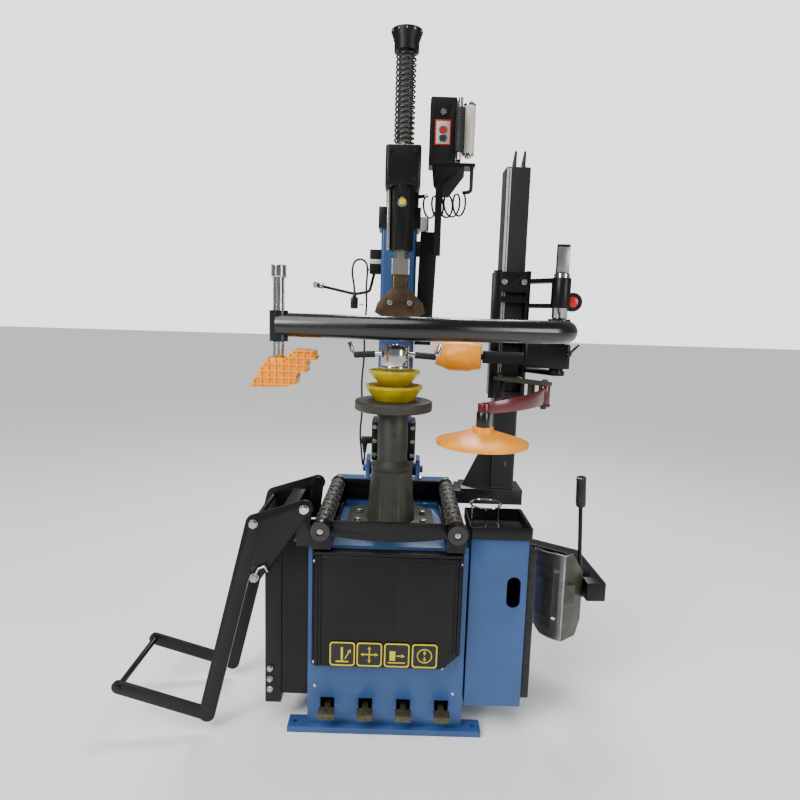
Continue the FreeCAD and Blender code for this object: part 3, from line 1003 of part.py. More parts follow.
def square_run(p, q):
    dx, dy = q[0] - p[0], q[1] - p[1]
    n = math.hypot(dx, dy)
    ox, oy = -dy / n * TUBE_W / 2, dx / n * TUBE_W / 2
    return prism([(p[0] + ox, p[1] + oy, BEAM_LOW), (q[0] + ox, q[1] + oy, BEAM_LOW),
                  (q[0] - ox, q[1] - oy, BEAM_LOW), (p[0] - ox, p[1] - oy, BEAM_LOW)],
                 V(0, 0, TUBE_W))


BEAM_LOW = BEAD_Z - TUBE_W / 2
HINGE = (BEAD_PIVOT[0] + 161.0, BEAD_PIVOT[1] - 310.0)
bead_arm = fuse(square_run(BEAD_PIVOT, BEAM_BEND), square_run(BEAM_BEND, BEAM_END),
                rod(TUBE_W / 2, (*BEAM_BEND, BEAM_LOW), Z_AXIS, TUBE_W),
                rod(TUBE_W / 2, (*BEAD_PIVOT, BEAM_LOW), Z_AXIS, TUBE_W),
                rod(BEAD_PIN_R, (*BEAD_PIVOT, BEAM_LOW - 22), Z_AXIS, TUBE_W + 44))
EAR_Z = ((BEAD_Z + 30, BEAD_Z + 42), (BEAD_Z - 42, BEAD_Z - 30))
for z0, z1 in EAR_Z:
    ear = prism([(HINGE[0] + 18, HINGE[1] - 30, z0), (HINGE[0] + 56, HINGE[1] - 30, z0),
                 (HINGE[0] + 46, HINGE[1] + 34, z0), (HINGE[0] + 8, HINGE[1] + 30, z0)],
                V(0, 0, z1 - z0))
    bead_arm = bead_arm.fuse(ear).fuse(rod(20, (*HINGE, z0), Z_AXIS, z1 - z0))
bead_arm = bead_arm.fuse(block(HINGE[0] + 22, HINGE[0] + 56, HINGE[1] - 30, HINGE[1] + 20,
                               BEAD_Z - 42, BEAD_Z + 42))
bead_arm = bead_arm.fuse(rod(10, (*HINGE, BEAD_Z - 50), Z_AXIS, 100))
lever_foot = (HINGE[0] + 26, HINGE[1] - 16, BEAD_Z + 30)
grip_low = (HINGE[0] + 2.7, HINGE[1] - 54.8, BEAD_Z + 259)
grip_top = (HINGE[0] - 6, HINGE[1] - 69, BEAD_Z + 349)
lever = fuse(between(6, lever_foot, grip_low), between(14, grip_low, grip_top))
save("bead_arm", fuse(bead_arm, lever))

BLADE_T = 6.0
BLADE_Z = (BEAD_Z - 153.0, BEAD_Z + 118.0)
# tip, belly, fold and outer wing of the blade in plan, from its hinge
BLADE_PLAN = [(-114, 8), (-96, -52), (-44, -106), (24, -58)]


def blade_face(off):
    pts = [V(HINGE[0] + x, HINGE[1] + y, BLADE_Z[0]) for x, y in BLADE_PLAN]
    shift = V(off, off * 0.6, 0)
    return [p + shift for p in pts]


front, rear = blade_face(0), blade_face(BLADE_T)
rear[2] = front[2] + V(1, BLADE_T * 1.5, 0)
rear[3] = front[3] + V(-4, BLADE_T * 1.2, 0)
plan = Part.Wire([Part.Arc(*front[:3]).toShape(), Part.LineSegment(front[2], front[3]).toShape(),
                  Part.LineSegment(front[3], rear[3]).toShape(),
                  Part.LineSegment(rear[3], rear[2]).toShape(),
                  Part.Arc(rear[2], rear[1], rear[0]).toShape(),
                  Part.LineSegment(rear[0], front[0]).toShape()])
blade = Part.Face(plan).extrude(V(0, 0, BLADE_Z[1] - BLADE_Z[0]))
# seen from the front, from the hinge and the middle of the arm
blade_outline = [(-126, -103), (-126, 77), (-104, 107), (-66, 118), (-18, 118), (9, 75), (32, 37),
                 (38, -58), (8, -147), (-96, -153), (-116, -131)]
blade = blade.common(prism([(HINGE[0] + x, HINGE[1] - 180, BEAD_Z + z) for x, z in blade_outline],
                           V(0, 300, 0)))
for z in (BEAD_Z - 87, BEAD_Z + 65):
    blade = blade.cut(rod(6, (HINGE[0] - 66, HINGE[1] - 180, z), Y_AXIS, 300))
hub = ring(19, 10 + FIT, (*HINGE, BEAD_Z - 29), Z_AXIS, 58)
web = block(HINGE[0] - 40, HINGE[0] - 12, HINGE[1] - 16, HINGE[1] + 16, BEAD_Z - 29, BEAD_Z + 29)
rib = block(HINGE[0] - 50, HINGE[0] - 12, HINGE[1] - 104, HINGE[1] + 8, BEAD_Z - 29, BEAD_Z + 29)
blade = fuse(blade, web, rib, hub)
save("bead_blade", blade.cut(rod(10 + FIT, (*HINGE, BEAD_Z - 60), Z_AXIS, 120)))
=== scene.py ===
# %% [markdown]
# # The looks of a tyre changer
# A tyre changer is a steel cabinet with a turntable, a column that carries the mounting tool, a
# helper post, a wheel lift and a bead breaker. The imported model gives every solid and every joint.
# This file gives each of them its finish, and adds the parts that are too fine for the solids:
# threads, springs, hoses, knurls, bolt heads, welds and labels.

# %% Load the frame
import json
import math
import bpy
from mathutils import Matrix, Vector


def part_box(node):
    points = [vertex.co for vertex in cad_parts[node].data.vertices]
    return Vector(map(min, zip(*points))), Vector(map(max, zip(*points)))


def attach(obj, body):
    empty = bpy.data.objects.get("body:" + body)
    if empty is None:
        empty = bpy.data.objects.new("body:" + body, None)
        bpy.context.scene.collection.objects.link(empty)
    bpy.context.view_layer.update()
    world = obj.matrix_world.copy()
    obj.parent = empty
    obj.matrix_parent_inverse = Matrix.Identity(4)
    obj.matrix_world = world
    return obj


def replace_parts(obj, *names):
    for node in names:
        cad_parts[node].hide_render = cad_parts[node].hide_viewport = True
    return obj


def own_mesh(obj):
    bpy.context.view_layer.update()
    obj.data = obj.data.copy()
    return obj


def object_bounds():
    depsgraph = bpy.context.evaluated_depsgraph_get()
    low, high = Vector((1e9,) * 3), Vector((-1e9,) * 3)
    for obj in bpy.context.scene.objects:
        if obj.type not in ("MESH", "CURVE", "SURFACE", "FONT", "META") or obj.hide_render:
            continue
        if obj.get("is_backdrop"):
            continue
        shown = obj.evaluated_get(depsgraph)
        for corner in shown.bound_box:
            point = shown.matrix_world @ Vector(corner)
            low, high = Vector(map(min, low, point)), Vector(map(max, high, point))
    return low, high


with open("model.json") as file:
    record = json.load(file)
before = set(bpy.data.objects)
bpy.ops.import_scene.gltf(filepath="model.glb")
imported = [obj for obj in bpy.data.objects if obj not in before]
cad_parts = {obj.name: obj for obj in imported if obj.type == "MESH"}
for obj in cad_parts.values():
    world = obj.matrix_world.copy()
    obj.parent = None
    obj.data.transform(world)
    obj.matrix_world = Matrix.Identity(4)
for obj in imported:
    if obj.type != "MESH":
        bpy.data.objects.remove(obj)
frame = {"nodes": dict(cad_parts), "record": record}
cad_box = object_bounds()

nodes = frame["nodes"]
print("nodes", len(nodes), "box", [[round(v, 3) for v in corner] for corner in cad_box])

# %% [markdown]
# ## Camera
# The eye is at chest height, about 1.6 m in front of the cabinet, and looks slightly down. It is
# tilted a little to one side, so level edges fall to the right by a few degrees. The lens is plain,
# with no shift.

# %% Camera
EYE = (0.019, -1.910, 1.200)
LOOK_DOWN = 8.06
TILT = 1.7
LENS_MM = 27.0

bpy.ops.object.select_all(action="DESELECT")
bpy.ops.object.camera_add(location=EYE)
camera = bpy.context.object
camera.name = "camera"
camera.data.lens = LENS_MM
camera.data.sensor_width = 36.0
aim = (Matrix.Rotation(math.radians(90 - LOOK_DOWN), 4, "X")
       @ Matrix.Rotation(math.radians(TILT), 4, "Z"))
camera.matrix_world = Matrix.Translation(EYE) @ aim
bpy.context.scene.camera = camera
print("camera at", EYE)

# %% [markdown]
# ## Adding a node, a colour and a piece
# Every material is built from nodes, so one small function adds a node, sets its sockets and
# links what feeds it. Colours are written as sRGB hex values, the way a paint chart gives them,
# and one function turns them to the linear light that the renderer works in.

# %% Node and colour helpers
def srgb(hex_colour):
    """Linear colour of an sRGB hex value such as #4a6fa5."""
    parts = [int(hex_colour[i:i + 2], 16) / 255 for i in (1, 3, 5)]
    return [p / 12.92 if p <= 0.04045 else ((p + 0.055) / 1.055) ** 2.4 for p in parts] + [1.0]


def add(tree, kind, props=None, **sockets):
    """Adds a shader node. A socket's value may be a number, a colour or another node's output."""
    node = tree.nodes.new("ShaderNode" + kind)
    for key, value in (props or {}).items():
        setattr(node, key, value)
    for key, value in sockets.items():
        socket = node.inputs[key.replace("_", " ")]
        if isinstance(value, bpy.types.NodeSocket):
            tree.links.new(value, socket)
        else:
            socket.default_value = value
    return node


def per_mm(size):
    """Texture scale that makes a feature this many millimetres across."""
    return 1000.0 / size


# %% [markdown]
# ## Finishes
# Most of the machine is painted, plated, cast or moulded, and all of those are the same few
# things to the eye: a colour that varies slowly over the surface, a gloss that varies with it,
# and a fine relief. One function makes that surface from real sizes, and each finish then adds
# what only it has. A whole machine in view leaves grain finer than 3 mm invisible, so finer grain
# is drawn 3 to 4 mm wide, or it wouldn't show at all.

# %% Surface recipe
def surface(name, light, dark, patch=120.0, gloss=(0.35, 0.5), grain=4.0, relief=0.1,
            stretch=(1, 1, 1), worn=None, worn_share=0.62, worn_size=30.0, **shader_values):
    """A material whose colour drifts from light to dark over patches of so many millimetres."""
    mat = bpy.data.materials.new(name)
    mat.use_nodes = True
    tree = mat.node_tree
    shader = tree.nodes["Principled BSDF"]
    for key, value in shader_values.items():
        shader.inputs[key.replace("_", " ")].default_value = value
    place = add(tree, "TexCoord").outputs["Object"]
    place = add(tree, "Mapping", Vector=place, Scale=stretch).outputs["Vector"]
    drift = add(tree, "TexNoise", Vector=place, Scale=per_mm(patch), Detail=5.0, Roughness=0.6)
    share = add(tree, "MapRange", Value=drift.outputs["Fac"], From_Min=0.35, From_Max=0.65)
    colour = add(tree, "MixRGB", Fac=share.outputs["Result"], Color1=srgb(dark), Color2=srgb(light))
    fine = add(tree, "TexNoise", Vector=place, Scale=per_mm(grain), Detail=3.0)
    rough = add(tree, "MapRange", Value=drift.outputs["Fac"], From_Min=0.3, From_Max=0.7,
                To_Min=gloss[1], To_Max=gloss[0])
    top = colour.outputs["Color"]
    if worn:
        rub = add(tree, "TexNoise", Vector=place, Scale=per_mm(worn_size), Detail=9.0, Roughness=0.72)
        edge = add(tree, "MapRange", Value=rub.outputs["Fac"], From_Min=worn_share,
                   From_Max=worn_share + 0.05)
        top = add(tree, "MixRGB", Fac=edge.outputs["Result"], Color1=top,
                  Color2=srgb(worn)).outputs["Color"]
    bump = add(tree, "Bump", Height=fine.outputs["Fac"], Strength=0.5, Distance=relief / 1000)
    tree.links.new(top, shader.inputs["Base Color"])
    tree.links.new(rough.outputs["Result"], shader.inputs["Roughness"])
    tree.links.new(bump.outputs["Normal"], shader.inputs["Normal"])
    return mat


# %% [markdown]
# ### Painted steel and cast iron
# The cabinet, tool box, arm and column are powder coated in a mid blue: a plastic skin about
# 0.08 mm thick with an orange-peel surface, so highlights are broad and slightly wavy. The
# frames are coated in black, which shows hand marks and grey rubs where things slide. The
# pedestal and turntable are cast iron under a thin dark primer, so they are dull and grainy.

# %% Paints and cast iron
FINISH = {}


def coat(name, *colours, **values):
    """Makes a finish and keeps it under its name."""
    FINISH[name] = surface(name.lower().replace(" ", "_"), *colours, **values)


coat("blue powder coat", "#2b4f82", "#254575", patch=260, gloss=(0.34, 0.46), grain=3.5, relief=0.12,
    worn="#46699b", worn_share=0.72, worn_size=60, Coat_Weight=0.15,
    Coat_Roughness=0.25)
coat("black powder coat", "#0a0b0c", "#060607", patch=150, gloss=(0.28, 0.42), grain=3.5, relief=0.10,
    worn="#2c2d2e", worn_share=0.69, worn_size=26, Specular_IOR_Level=0.3)
coat("scuffed black paint", "#222426", "#111213", patch=90, gloss=(0.26, 0.44), grain=5, relief=0.6,
    worn="#74767a", worn_share=0.64, worn_size=34, stretch=(1, 1, 0.25))
coat("gloss black enamel", "#060607", "#030303", patch=200, gloss=(0.22, 0.32), grain=5, relief=0.06,
    worn="#2a2a2b", worn_share=0.74, worn_size=22, Coat_Weight=0.35, Coat_Roughness=0.15)
coat("dark cast iron", "#35362d", "#25261f", patch=70, gloss=(0.42, 0.60), grain=4, relief=0.45,
    worn="#6d6f72", worn_share=0.68, worn_size=18)
coat("olive primed casting", "#3d3d31", "#2b2b23", patch=60, gloss=(0.40, 0.55), grain=4, relief=0.4,
    worn="#8a887a", worn_share=0.66, worn_size=16)
coat("dark red enamel", "#6a1016", "#4a0a10", patch=80, gloss=(0.18, 0.30), grain=5, relief=0.08,
    worn="#a8545a", worn_share=0.70, worn_size=14, Coat_Weight=0.5, Coat_Roughness=0.12)

# %% [markdown]
# ### Bare and plated metal
# Chrome plate is a mirror with hardly any colour. Zinc-plated bolts are greyer and a little
# rough. The breaker blade is ground steel with scratches along the grinding direction, and the
# pedals are raw pressed steel, which handling has turned tan. A metal's mirror colour comes from
# its base colour, so its IOR stays as it is.

# %% Metals
coat("chrome plate", "#d8d9da", "#b9bbbd", patch=40, gloss=(0.06, 0.16), grain=6, relief=0.03,
    Metallic=1.0)
coat("zinc plate", "#c4c2bb", "#9a988f", patch=14, gloss=(0.22, 0.38), grain=3, relief=0.10,
    Metallic=1.0)
coat("ground steel", "#a4a5a3", "#86888a", patch=90, gloss=(0.26, 0.36), grain=3, relief=0.20,
    stretch=(1, 1, 3), Metallic=0.9)
coat("raw pressed steel", "#625f49", "#474434", patch=16, gloss=(0.35, 0.55), grain=3, relief=0.25,
    worn="#5d564a", worn_share=0.62, worn_size=9, Metallic=0.7)
coat("bronze casting", "#5b4a35", "#3d3226", patch=24, gloss=(0.30, 0.48), grain=3, relief=0.35,
    worn="#8d7a5c", worn_share=0.63, worn_size=12, Metallic=0.75)
coat("cast aluminium", "#d9d6ca", "#bfbcb0", patch=40, gloss=(0.35, 0.50), grain=3, relief=0.25,
    Metallic=0.6)

# %% [markdown]
# ### Plastics and rubber
# The front cover and the control box are black ABS with a moulded grain, the grips and pads are
# rubber, and the pieces that touch the rim or the tyre are cast polyurethane: strong orange and
# yellow with light going a little way in, so their edges glow and their shadows stay coloured.

# %% Plastics and rubber
coat("grained black ABS", "#090a09", "#050605", patch=180, gloss=(0.36, 0.48), grain=3, relief=0.22,
    Specular_IOR_Level=0.3)
coat("black rubber", "#1b1b1b", "#0f0f10", patch=50, gloss=(0.55, 0.75), grain=3, relief=0.3,
    worn="#333333", worn_share=0.66, worn_size=15)
coat("smooth black plastic", "#101011", "#08080a", patch=60, gloss=(0.18, 0.30), grain=5, relief=0.05)
coat("orange polyurethane", "#ffa600", "#f58e00", patch=50, gloss=(0.30, 0.42), grain=4, relief=0.12,
    Subsurface_Weight=0.05, Subsurface_Radius=(0.02, 0.008, 0.001), Subsurface_Scale=0.2)
coat("yellow polyurethane", "#c4ae00", "#a89300", patch=46, gloss=(0.28, 0.40), grain=4, relief=0.12,
    Subsurface_Weight=0.05, Subsurface_Radius=(0.01, 0.008, 0.001), Subsurface_Scale=0.2)
coat("red plastic", "#c8141c", "#a30d14", patch=8, gloss=(0.2, 0.3), grain=3, relief=0.05)
coat("yellow plastic", "#dccb16", "#c4b20e", patch=8, gloss=(0.2, 0.3), grain=3, relief=0.05)
coat("cream lacquer", "#ece6d6", "#d9d2bf", patch=60, gloss=(0.25, 0.38), grain=4, relief=0.06)
print("finishes", len(FINISH))

# %% [markdown]
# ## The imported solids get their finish
# Each node's object keeps its mesh. Only its material slot is filled. A solid with sawn-off
# looking edges doesn't catch the light as sheet metal does, so the larger ones are later stood
# in for by a copy with its edges eased.

# %% Paint the nodes
WEARS = {
    "blue powder coat": "floor_frame cabinet tool_box column tool_arm",
    "grained black ABS": "front_cover control_box inflator cord_gland power_plug spring_cap",
    "black powder coat": "tool_tray roller_table lift_channel column_boot arm_sleeve tool_head "
                         "control_bracket lift_arm helper_carriage roller_arm bead_arm",
    "scuffed black paint": "helper_post",
    "gloss black enamel": "helper_tube",
    "black rubber": "bead_pads drive_belt hose_coil power_cord shaft_spring black_button",
    "dark cast iron": "pedestal turntable gearbox motor_pulley worm_pulley",
    "zinc plate": "plate_bolts presser_screw tool_shaft control_handle",
    "cast aluminium": "motor tilt_barrel",
    "cream lacquer": "air_lubricator",
    "chrome plate": "wing_nut tilt_rod left_roller right_roller",
    "yellow polyurethane": "centring_cups",
    "orange polyurethane": "presser_foot bead_roller press_disc",
    "raw pressed steel": "pedal_1 pedal_2 pedal_3 pedal_4",
    "bronze casting": "mount_head",
    "ground steel": "bead_blade",
    "olive primed casting": "disc_link",
    "dark red enamel": "disc_arm",
    "red plastic": "red_button",
    "yellow plastic": "release_button",
}
for finish, names in WEARS.items():
    for name in names.split():
        slots = nodes[name].data.materials
        slots.clear()
        slots.append(FINISH[finish])
unpainted = sorted(set(nodes) - {n for names in WEARS.values() for n in names.split()})
print("nodes without a finish:", unpainted)

# %% [markdown]
# ## Floor and light
# A studio for a machine this tall is a pale floor, a large soft light on each side and one from
# above and behind that draws the edges of the black frames. The world is a plain pale grey, so
# chrome has something light to reflect: dim enough for black paint to stay black, with a bright
# backdrop behind everything.

# %% Floor and light
bpy.ops.mesh.primitive_plane_add(size=60, location=(0, 0, 0))
floor = bpy.context.object
floor.name = "studio_floor"
floor.data.materials.append(surface("pale_floor", "#f2f2f1", "#eeeeed", patch=4000,
                                    gloss=(0.75, 0.85), grain=60, relief=0.0))
floor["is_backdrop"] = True

world = bpy.data.worlds.new("studio_air")
world.use_nodes = True
air = world.node_tree
backdrop = air.nodes["Background"]
backdrop.inputs["Color"].default_value = srgb("#ffffff")
backdrop.inputs["Strength"].default_value = 2.2
glow = add(air, "Background", Color=srgb("#eef1f4"), Strength=0.26)
seen = add(air, "LightPath")
mix = add(air, "MixShader", Fac=seen.outputs["Is Camera Ray"])
air.links.new(glow.outputs["Background"], mix.inputs[1])
air.links.new(backdrop.outputs["Background"], mix.inputs[2])
air.links.new(mix.outputs["Shader"], air.nodes["World Output"].inputs["Surface"])
bpy.context.scene.world = world

LIGHTS = [
    # name, place, what it points at, width, height, watts
    ("key_left", (-2.2, -2.6, 2.6), (0, 0, 1.0), 1.1, 1.5, 80),
    ("fill_right", (2.6, -2.2, 1.8), (0.1, 0, 0.9), 0.9, 1.5, 40),
    ("top_back", (0.3, 1.8, 3.2), (0, 0, 1.2), 1.6, 1.0, 90),
]
for name, place, target, width, height, watts in LIGHTS:
    bpy.ops.object.light_add(type="AREA", location=place)
    lamp = bpy.context.object
    lamp.name = name
    lamp.data.shape = "RECTANGLE"
    lamp.data.size, lamp.data.size_y = width, height
    lamp.data.energy = watts
    lamp.rotation_euler = (Vector(target) - Vector(place)).to_track_quat("-Z", "Y").to_euler()
bpy.ops.object.light_add(type="SUN", location=(-2, -3, 5))
daylight = bpy.context.object
daylight.name = "even_daylight"
daylight.data.energy = 2.4
daylight.data.angle = math.radians(50)
daylight.rotation_euler = Vector((0.35, 0.45, -1.0)).to_track_quat("-Z", "Y").to_euler()
print("lights", len(LIGHTS) + 1)

# %% [markdown]
# ## Making a piece by hand
# Each new piece starts as a primitive at its real size and place, is shaped with edit-mode
# operators, and has its place, turn and size put into its mesh, so that its object sits at the
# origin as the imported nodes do. Sizes here are in millimetres, as on a drawing. Everything is
# deselected before each primitive, because an operator acts on all that is selected.


MERGE = 0.00002
FRONT, DOWN, LEFTWARD, RIGHTWARD = (0, 1, 0), (0, 0, -1), (-1, 0, 0), (1, 0, 0)
FORWARD = (0, -1, 0)


def mm(*point):
    return Vector(point) / 1000


def start():
    """Object mode with nothing selected."""
    if bpy.context.mode != "OBJECT":
        bpy.ops.object.mode_set(mode="OBJECT")
    bpy.ops.object.select_all(action="DESELECT")


def settle(name):
    """Names the new piece and puts its place, turn and size into its mesh."""
    piece = bpy.context.object
    piece.name = piece.data.name = name
    bpy.ops.object.transform_apply(location=True, rotation=True, scale=True)
    return piece


def edit(piece, select="SELECT"):
    """Opens one piece for editing, with all or nothing of it selected."""
    start()
    piece.select_set(True)
    bpy.context.view_layer.objects.active = piece
    bpy.ops.object.mode_set(mode="EDIT")
    bpy.ops.mesh.select_mode(type="VERT")
    bpy.ops.mesh.select_all(action=select)


def pick(piece, test, kind="FACE"):
    """In edit mode: selects the faces or edges whose middle (in mm) and normal pass the test."""
    bpy.ops.mesh.select_mode(type=kind)
    bpy.ops.mesh.select_all(action="DESELECT")
    bpy.ops.object.mode_set(mode="OBJECT")
    mesh = piece.data
    for part in (mesh.polygons if kind == "FACE" else mesh.edges):
        spots = [mesh.vertices[i].co for i in part.vertices]
        middle = sum(spots, Vector()) / len(spots) * 1000
        part.select = bool(test(middle, part.normal) if kind == "FACE" else test(middle, spots))
    bpy.ops.object.mode_set(mode="EDIT")


def modify(piece, kind, **settings):
    """Adds a modifier, sets it and applies it."""
    bpy.context.view_layer.objects.active = piece
    step = piece.modifiers.new(kind.title(), kind)
    for key, value in settings.items():
        setattr(step, key, value)
    bpy.ops.object.modifier_apply(modifier=step.name)
    return piece


def cut(piece, cutter, how="DIFFERENCE"):
    """Takes the cutter's shape out of a piece, and the cutter away."""
    modify(piece, "BOOLEAN", operation=how, object=cutter, solver="EXACT")
    bpy.data.objects.remove(cutter)
    return piece


def ease(piece, width, segments=2, angle=30):
    return modify(piece, "BEVEL", width=width / 1000, segments=segments, limit_method="ANGLE",
                  angle_limit=math.radians(angle))


def slab(name, low, high, edge=1.0):
    """Rectangular piece between two corners, with its edges broken as a file would."""
    start()
    low, high = mm(*low), mm(*high)
    bpy.ops.mesh.primitive_cube_add(size=1, location=(low + high) / 2, scale=high - low)
    piece = settle(name)
    return ease(piece, edge) if edge else piece


def round_bar(name, low, high, radius, end_radius=None, sides=32, edge=0.8):
    """Round bar or cone between two points, with its rims broken."""
    start()
    low, high = mm(*low), mm(*high)
    turn = (high - low).to_track_quat("Z", "Y").to_euler()
    bpy.ops.mesh.primitive_cone_add(vertices=sides, radius1=radius / 1000,
                                    radius2=(end_radius or radius) / 1000,
                                    depth=(high - low).length, location=(low + high) / 2,
                                    rotation=turn)
    piece = settle(name)
    return ease(piece, edge, angle=40) if edge else piece


def repeat(first, count, pitch, points, last, thinner=0.0):
    """A turned profile whose middle points repeat, each time a pitch further and a little thinner."""
    middle = [(r - thinner * k, z + pitch * k) for k in range(count) for r, z in points]
    return first + middle + last


def on_circle(x, y, radius, angle):
    """A place in plan on a circle."""
    return x + radius * math.cos(angle), y + radius * math.sin(angle)


def lathe(name, profile, base, axis=(0, 0, 1), steps=40):
    """A turned piece: a profile of (radius, height) in mm, spun about its axis."""
    start()
    bpy.ops.mesh.primitive_plane_add(size=0.001)
    piece = bpy.context.object
    edit(piece)
    bpy.ops.mesh.merge(type="CENTER")
    bpy.ops.transform.translate(value=mm(profile[0][0], 0, profile[0][1]))
    for (r0, h0), (r1, h1) in zip(profile, profile[1:]):
        bpy.ops.mesh.extrude_vertices_move(
            TRANSFORM_OT_translate={"value": mm(r1 - r0, 0, h1 - h0)})
    bpy.ops.mesh.select_all(action="SELECT")
    bpy.ops.mesh.spin(steps=steps, angle=2 * math.pi, center=(0, 0, 0), axis=(0, 0, 1))
    bpy.ops.mesh.select_all(action="SELECT")
    bpy.ops.mesh.remove_doubles(threshold=MERGE)
    bpy.ops.mesh.normals_make_consistent(inside=False)
    bpy.ops.object.mode_set(mode="OBJECT")
    piece.rotation_euler = Vector(axis).to_track_quat("Z", "Y").to_euler()
    piece.location = mm(*base)
    return settle(name)


def stamp(source, name, at, axis=(0, 0, 1), size=1.0, roll=0.0):
    """A copy of a piece modelled at the origin and standing on +Z, set down elsewhere."""
    copy = source.copy()
    copy.data = source.data.copy()
    copy.name = copy.data.name = name
    bpy.context.collection.objects.link(copy)
    turn = Vector((0, 0, 1)).rotation_difference(Vector(axis)).to_matrix().to_4x4()
    copy.data.transform(Matrix.Translation(mm(*at)) @ turn @ Matrix.Rotation(roll, 4, "Z")
                        @ Matrix.Scale(size, 4))
    return copy


def join(name, pieces):
    """One piece of several that are made of the same stuff."""
    start()
    for piece in pieces:
        piece.select_set(True)
    bpy.context.view_layer.objects.active = pieces[0]
    bpy.ops.object.join()
    pieces[0].name = pieces[0].data.name = name
    return pieces[0]


def done(piece, finish, body, smooth=35):
    """Gives a piece its finish and lets it ride on its body."""
    piece.data.materials.clear()
    piece.data.materials.append(FINISH[finish])
    if piece.type == "MESH" and smooth:
        start()
        piece.select_set(True)
        bpy.context.view_layer.objects.active = piece
        bpy.ops.object.shade_smooth_by_angle(angle=math.radians(smooth))
    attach(piece, body)
    return piece


def turn(name, profile, base, finish, body, axis=(0, 0, 1), steps=28):
    """A turned piece, finished and riding on its body."""
    return done(lathe(name, profile, base, axis, steps), finish, body)


def plate(name, low, high, finish, body, edge=1.0):
    """A rectangular piece, finished and riding on its body."""
    return done(slab(name, low, high, edge), finish, body)


# %% [markdown]
# ## Power cord
# The cord leaves a gland on the boot, turns up round it, climbs beside the column in lazy waves,
# goes over a tie beside the inflator and hangs down to its plug. It is shown from end to end, so
# what shows is its length, about 0.94 m of soft 7 mm cord. Few control points on a smooth spline
# give the loose waves that a real cord has; many points would make it look like bent wire.

# %% Power cord
CORD_MM = 7.0
CORD_ROUTE = [
    (-104, 218, 702), (-104, 218, 676), (-106, 193.8, 662), (-108, 169.5, 676), (-112, 170, 716),
    (-120, 174, 784), (-112, 180, 868), (-119, 186, 962), (-109, 188, 1060), (-114, 192, 1150),
    (-105, 190, 1226), (-110, 197, 1290), (-106, 204, 1340), (-108, 206, 1376), (-132, 206, 1390),
    (-156, 206, 1376), (-160, 205, 1336), (-150, 204, 1292), (-150, 204, 1262)]


def hose_curve(name, points, diameter):
    """A round hose or cord on one smooth spline through the middle of its route points."""
    curve = bpy.data.curves.new(name, "CURVE")
    curve.dimensions = "3D"
    curve.bevel_depth = diameter / 2000
    curve.bevel_resolution = 3
    curve.use_fill_caps = True
    spline = curve.splines.new("NURBS")
    spline.points.add(len(points) - 1)
    for spot, point in zip(spline.points, points):
        spot.co = (*mm(*point), 1.0)
    spline.order_u = 3
    spline.use_endpoint_u = True
    spline.resolution_u = 8
    piece = bpy.data.objects.new(name, curve)
    bpy.context.collection.objects.link(piece)
    return piece


def curve_length(piece):
    """Length in metres of a curve's own line, measured without its thickness."""
    bare = piece.data.copy()
    bare.bevel_depth = 0.0
    line = bpy.data.objects.new("measure", bare)
    mesh = bpy.data.meshes.new_from_object(line)
    spots = [v.co.copy() for v in mesh.vertices]
    bpy.data.objects.remove(line)
    return sum((b - a).length for a, b in zip(spots, spots[1:]))


power_cord = hose_curve("power_cord_line", CORD_ROUTE, CORD_MM)
done(power_cord, "black rubber", "column")
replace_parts(power_cord, "power_cord")
cord_length = curve_length(power_cord)
print("power cord length", round(cord_length, 3), "m")

# %% [markdown]
# The plug is a moulded block with finger ridges and two round pins that point to the side. The
# gland's strain relief is a tapered sleeve cut by rings, which lets the cord bend without a kink.

# %% Plug and strain relief
px, py, pz = CORD_ROUTE[-1]
plug = slab("plug_body", (px - 12.5, py - 11.5, pz - 45), (px + 12.5, py + 11.5, pz - 4), edge=4)
ridges = [slab(f"plug_ridge_{i}", (px - 13, py - 12, pz - 40 + 8 * i),
               (px + 13, py + 12, pz - 37 + 8 * i), edge=1.2) for i in range(4)]
neck = round_bar("plug_neck", (px, py, pz - 8), (px, py, pz + 16), 8, 4.2, sides=24)
plug = done(join("plug_moulding", [plug, neck] + ridges), "smooth black plastic", "column")
pins = [round_bar(f"plug_pin_{s}", (px + 11, py + s * 7, pz - 30), (px + 32, py + s * 7, pz - 30),
                  2.4, sides=16) for s in (-1, 1)]
pins = done(join("plug_pins", pins), "chrome plate", "column")
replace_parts(plug, "power_plug")

relief_profile = repeat([(0, 36), (10.4, 36)], 6, -5.5,
                        [(10.2, 33), (10.2, 30.4), (8.7, 30), (8.7, 28)], [(4.6, 0), (0, 0)], 0.85)
relief = lathe("strain_relief", relief_profile, CORD_ROUTE[0], steps=28)
gland_block = slab("gland_block", (-116, 206, 738), (-78, 230, 762), edge=2.5)
relief = done(join("cord_strain_relief", [relief, gland_block]), "black rubber", "column")
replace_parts(relief, "cord_gland")
print("plug at", [px, py, pz])

# %% [markdown]
# The control head is fed by a coiled air hose, which hangs between an elbow under its shelf and a
# fitting on the column's sleeve. A coiled hose keeps its coils, but they aren't alike: some
# stand wider than others and they lean apart. A loop makes the turns, a little different each.

